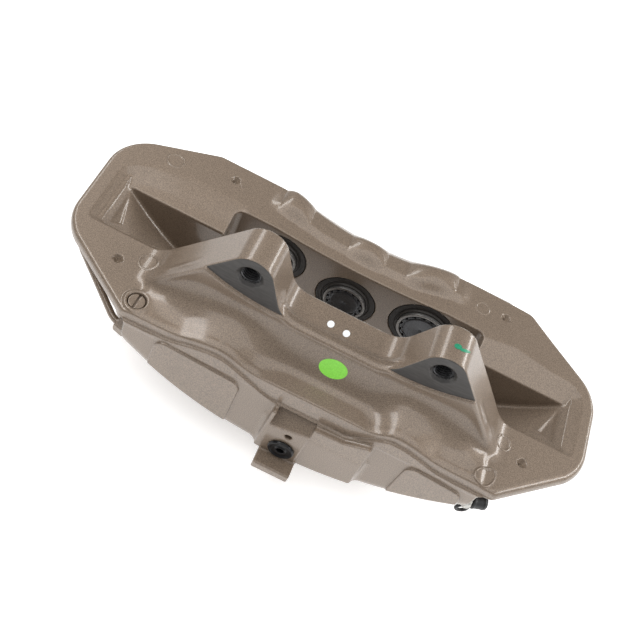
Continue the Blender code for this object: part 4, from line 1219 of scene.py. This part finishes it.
def bleed_screw(side):
    """Nipple and shank from one profile, with the hexagon as flats on its widest part."""
    end = ENDS[side + "_right"]
    tip, neck, wide = HEX_LENGTH + NIPPLE_LENGTH, NIPPLE_RADIUS * 0.8, 10.0 / math.sqrt(3)
    profile = [
        (0.0, tip), (neck, tip), (NIPPLE_RADIUS, tip - 3.2), (neck, tip - 6.0), (neck, HEX_LENGTH + 0.3),
        (4.85, HEX_LENGTH), (wide, HEX_LENGTH - 0.8), (wide, 1.0), (4.85, 0.3), (3.7, 0.3),
        (3.7, 0.5 - PORT_DEPTH), (0.0, 0.5 - PORT_DEPTH)]
    screw = turned(
        "bleed_nipple_" + side, profile, (*end["seat"], -PORT_DROP), (*end["along"], 0.0), zinc, 96, False, 0.2,
        hexagon(10.0), 30)
    return settled(screw, "bleed_screw_%s_group" % side, "bleed_zinc", "bleed_screw_" + side)


def bleed_cap(side):
    """Distance to a cup along the screw's axis, joined softly to a hanging loop and the strap that carries it."""
    end = ENDS[side + "_right"]
    seat = np.array([*end["seat"], -PORT_DROP])
    axis = np.array([*end["along"], 0.0])
    tip = HEX_LENGTH + NIPPLE_LENGTH
    inner = NIPPLE_RADIUS + 0.3
    outer = inner + CAP_WALL
    top = tip + 0.3 + CAP_WALL
    skirt = top - CAP_LENGTH
    across = np.cross(axis, [0.0, 0.0, 1.0])
    hang = seat + axis * HEX_LENGTH - np.array([0.0, 0.0, STRAP_DROP])
    root = seat + axis * (skirt + CAP_WALL) - np.array([0.0, 0.0, inner + CAP_WALL / 2])

    def field(x, y, z):
        p = np.stack([x, y, z], axis=-1) - seat
        h = p @ axis
        away = np.sqrt(np.maximum(np.sum(p * p, axis=-1) - h * h, 0.0))
        rib = 0.35 * np.exp(-((h - top + 2.2) / 0.6) ** 2) + 0.35 * np.exp(-((h - skirt - 1.2) / 0.9) ** 2)
        cup = round_max(away - outer - rib, np.abs(h - (top + skirt) / 2) - CAP_LENGTH / 2, 1.0)
        cup = soft_max(cup, -np.maximum(away - inner, h - tip - 0.3), 0.3)
        q = p + seat - hang
        off = q @ across
        flat = np.sqrt(np.maximum(np.sum(q * q, axis=-1) - off * off, 0.0))
        loop = np.hypot(flat - STRAP_RADIUS, off) - STRAP_THICKNESS
        reach = (hang - root) * (1.0 - STRAP_RADIUS / np.linalg.norm(hang - root))
        t = np.clip(((p + seat - root) @ reach) / (reach @ reach), 0.0, 1.0)
        link = np.linalg.norm(p + seat - root - t[..., None] * reach, axis=-1) - STRAP_THICKNESS
        return soft_min(cup, soft_min(loop, link, 1.2), 0.8)

    places = np.array([seat + axis * top, seat, hang])
    low, high = places.min(0) - 7.5, places.max(0) + 7.5
    points, faces = skin(field, tuple(low), tuple(high), 0.4 if FINE else 0.6)
    cap = mesh_from("bleed_cap_soft_" + side, points, faces, cap_rubber)
    return settled(cap, "bleed_cap_%s_group" % side, "cap_rubber", "bleed_cap_" + side)


for side, sign in SIDES:
    bleed_screw(side)
    bleed_cap(side)
print("two bleed screws and caps")

# %% [markdown]
# ## Plugs
# The inlet's shipping plug is a turned plastic stopper with a deep middle. The gallery plug is a round screw with
# a slot, cut out of a disc as a small field.


# %% Plugs
def build_inlet_plug():
    """A flanged stopper, hollow in the middle, with a thin bead on its flange."""
    flange, stem = 9.25, 4.7
    profile = [
        (0.0, -3.8), (2.6, -3.8), (2.8, 2.0), (3.6, 2.2), (4.4, 1.3), (flange - 2.0, 1.3), (flange - 1.4, 2.2),
        (flange - 0.4, 2.0), (flange, 0.9), (flange, 0.3), (stem, 0.3), (stem, -8.7), (0.0, -8.7)]
    plug = turned(
        "inlet_stopper", profile, (INLET[0], -SEAT_FACE, INLET[1]), (0, -1, 0), plug_plastic, 96, False, 0.25)
    return settled(plug, "inlet_plug_group", "plug_plastic", "inlet_plug")


def build_gallery_plug():
    """A disc less a slot that lies aslant, with a dished top."""
    turn = math.radians(88.0)
    radius = 5.5

    def field(x, y, z):
        u, v = x - GALLERY[0], y - GALLERY[1]
        away = np.hypot(u, v)
        disc = plate(away - radius, z, -5.7, 0.8, 0.5)
        dish = np.hypot(away, z - 20.8) - 20.2
        slot = np.maximum(np.abs(v * math.cos(turn) - u * math.sin(turn)) - 0.8, -0.9 - z)
        return soft_max(soft_max(disc, -dish, 0.3), -slot, 0.2)

    low = (GALLERY[0] - 7.0, GALLERY[1] - 7.0, -7.0)
    high = (GALLERY[0] + 7.0, GALLERY[1] + 7.0, 3.0)
    points, faces = skin(field, low, high, 0.3 if FINE else 0.45)
    plug = mesh_from("gallery_screw", points, faces, fitting_paint, 40)
    return settled(plug, "caliper", "plug_paint", "gallery_plug")


build_inlet_plug()
build_gallery_plug()
for side, sign in SIDES:
    for name, x, r in PISTONS:
        node = bpy.data.objects["piston_seal_%s_%s" % (side, name)]
        node.data.materials.clear()
        node.data.materials.append(seal_rubber)
print("inlet stopper, gallery screw, six seals")

# %% [markdown]
# ## Marks
# Two white paint dots, a plain green oval sticker and a dab of green paint. Each is drawn as an oval on the
# picture, and every point of it is sent along the camera's line of sight until it meets the casting's field, so
# that it lies on the casting however that curves.


# %% Marks
def onto_casting(pixels):
    """Points of the casting under pixels: each ray steps forward by a part of the field until it arrives."""
    right, up, back, place = camera_axes()
    half = IMAGE_SIDE / 2
    rays = right * (pixels[:, :1] - half) + up * (half - pixels[:, 1:]) - back * FOCAL_PIXELS
    rays /= np.linalg.norm(rays, axis=1)[:, None]
    points = place + rays * 420.0
    for _ in range(120):
        points = points + rays * (0.7 * casting(*points.T))[:, None]
    return points


def mark(name, centre, axes, turn, material, lift=0.18, rows=7, columns=40):
    """An oval of rings and spokes in the picture, laid on the casting and raised a little along its normal."""
    ring, angle = np.meshgrid(
        np.array([*np.linspace(0.0, 1.0, rows), 1.0]), np.linspace(0.0, 2 * math.pi, columns, endpoint=False),
        indexing="ij")
    u, v = axes[0] * ring * np.cos(angle), axes[1] * ring * np.sin(angle)
    c, s = math.cos(math.radians(turn)), math.sin(math.radians(turn))
    pixels = np.stack([centre[0] + u * c - v * s, centre[1] + u * s + v * c], axis=-1).reshape(-1, 2)
    points = onto_casting(pixels)
    normals = slope(casting, points)
    normals /= np.linalg.norm(normals, axis=1)[:, None]
    raised = np.full((rows + 1, columns), lift)
    raised[-1] = -0.05
    points = points + normals * raised.reshape(-1, 1)
    faces = grid_faces(rows + 1, columns, True)
    item = mesh_from(name, points, faces, material, 60)
    return settled(item, "caliper")


def settle_down(x, y, start=30.0):
    """Heights of the casting's top under points of the plan, by stepping straight down."""
    z = np.full(x.shape, start)
    for _ in range(90):
        z = z - 0.7 * casting(x, y, z)
    return z


def bead(name, path, width, height):
    """A raised line on the casting: across a closed path its height falls away as (1 - u u) squared."""
    run = np.roll(path, -1, 0) - np.roll(path, 1, 0)
    run /= np.linalg.norm(run, axis=1)[:, None]
    aside = np.stack([run[:, 1], -run[:, 0]], axis=1)
    u = np.linspace(-1.0, 1.0, 11)
    plan = path[None] + u[:, None, None] * width * aside[None]
    x, y = plan[..., 0].ravel(), plan[..., 1].ravel()
    points = np.stack([x, y, settle_down(x, y)], axis=1)
    normals = slope(casting, points)
    normals /= np.linalg.norm(normals, axis=1)[:, None]
    raised = np.repeat(height * (1.0 - u * u) ** 2 - 0.06, len(path))
    points = points + normals * raised[:, None]
    faces = grid_faces(len(u), len(path), True)
    return settled(mesh_from(name, points, faces, fitting_paint, 80), "caliper")


RINGS = ((-150.6, 54.8, 5.9, 0.6), (-128.9, -35.2, 5.9, 0.5), (89.9, 61.6, 5.0, 0.35), (129.6, -37.2, 5.2, 0.5))
TEARDROP = [(116.8, -64.7), (115.3, -72.0), (124.6, -75.5), (130.6, -68.1), (129.7, -58.1)]
round_trip = np.linspace(0.0, 2 * math.pi, 72, endpoint=False)
for i, (x, y, r, height) in enumerate(RINGS):
    circle = np.stack([x + r * np.cos(round_trip), y + r * np.sin(round_trip)], axis=1)
    bead("mould_ring_%d" % (i + 1), circle, 1.1, height)
bead("teardrop_border", softened(TEARDROP, 4.0, True), 1.2, 0.8)
print("four mould rings and a teardrop")

mark("white_dot_left", (330.8, 324.2), (3.7, 3.5), 0.0, white_paint)
mark("white_dot_right", (346.4, 333.7), (3.7, 3.5), 0.0, white_paint)
mark("green_sticker", (333.2, 369.0), (15.0, 9.4), 20.0, green_paper)
mark("green_dab_left", (458.2, 346.6), (4.0, 2.6), 25.0, green_paint)
mark("green_dab_right", (465.0, 350.8), (5.6, 1.6), 18.0, green_paint)
print("five marks")
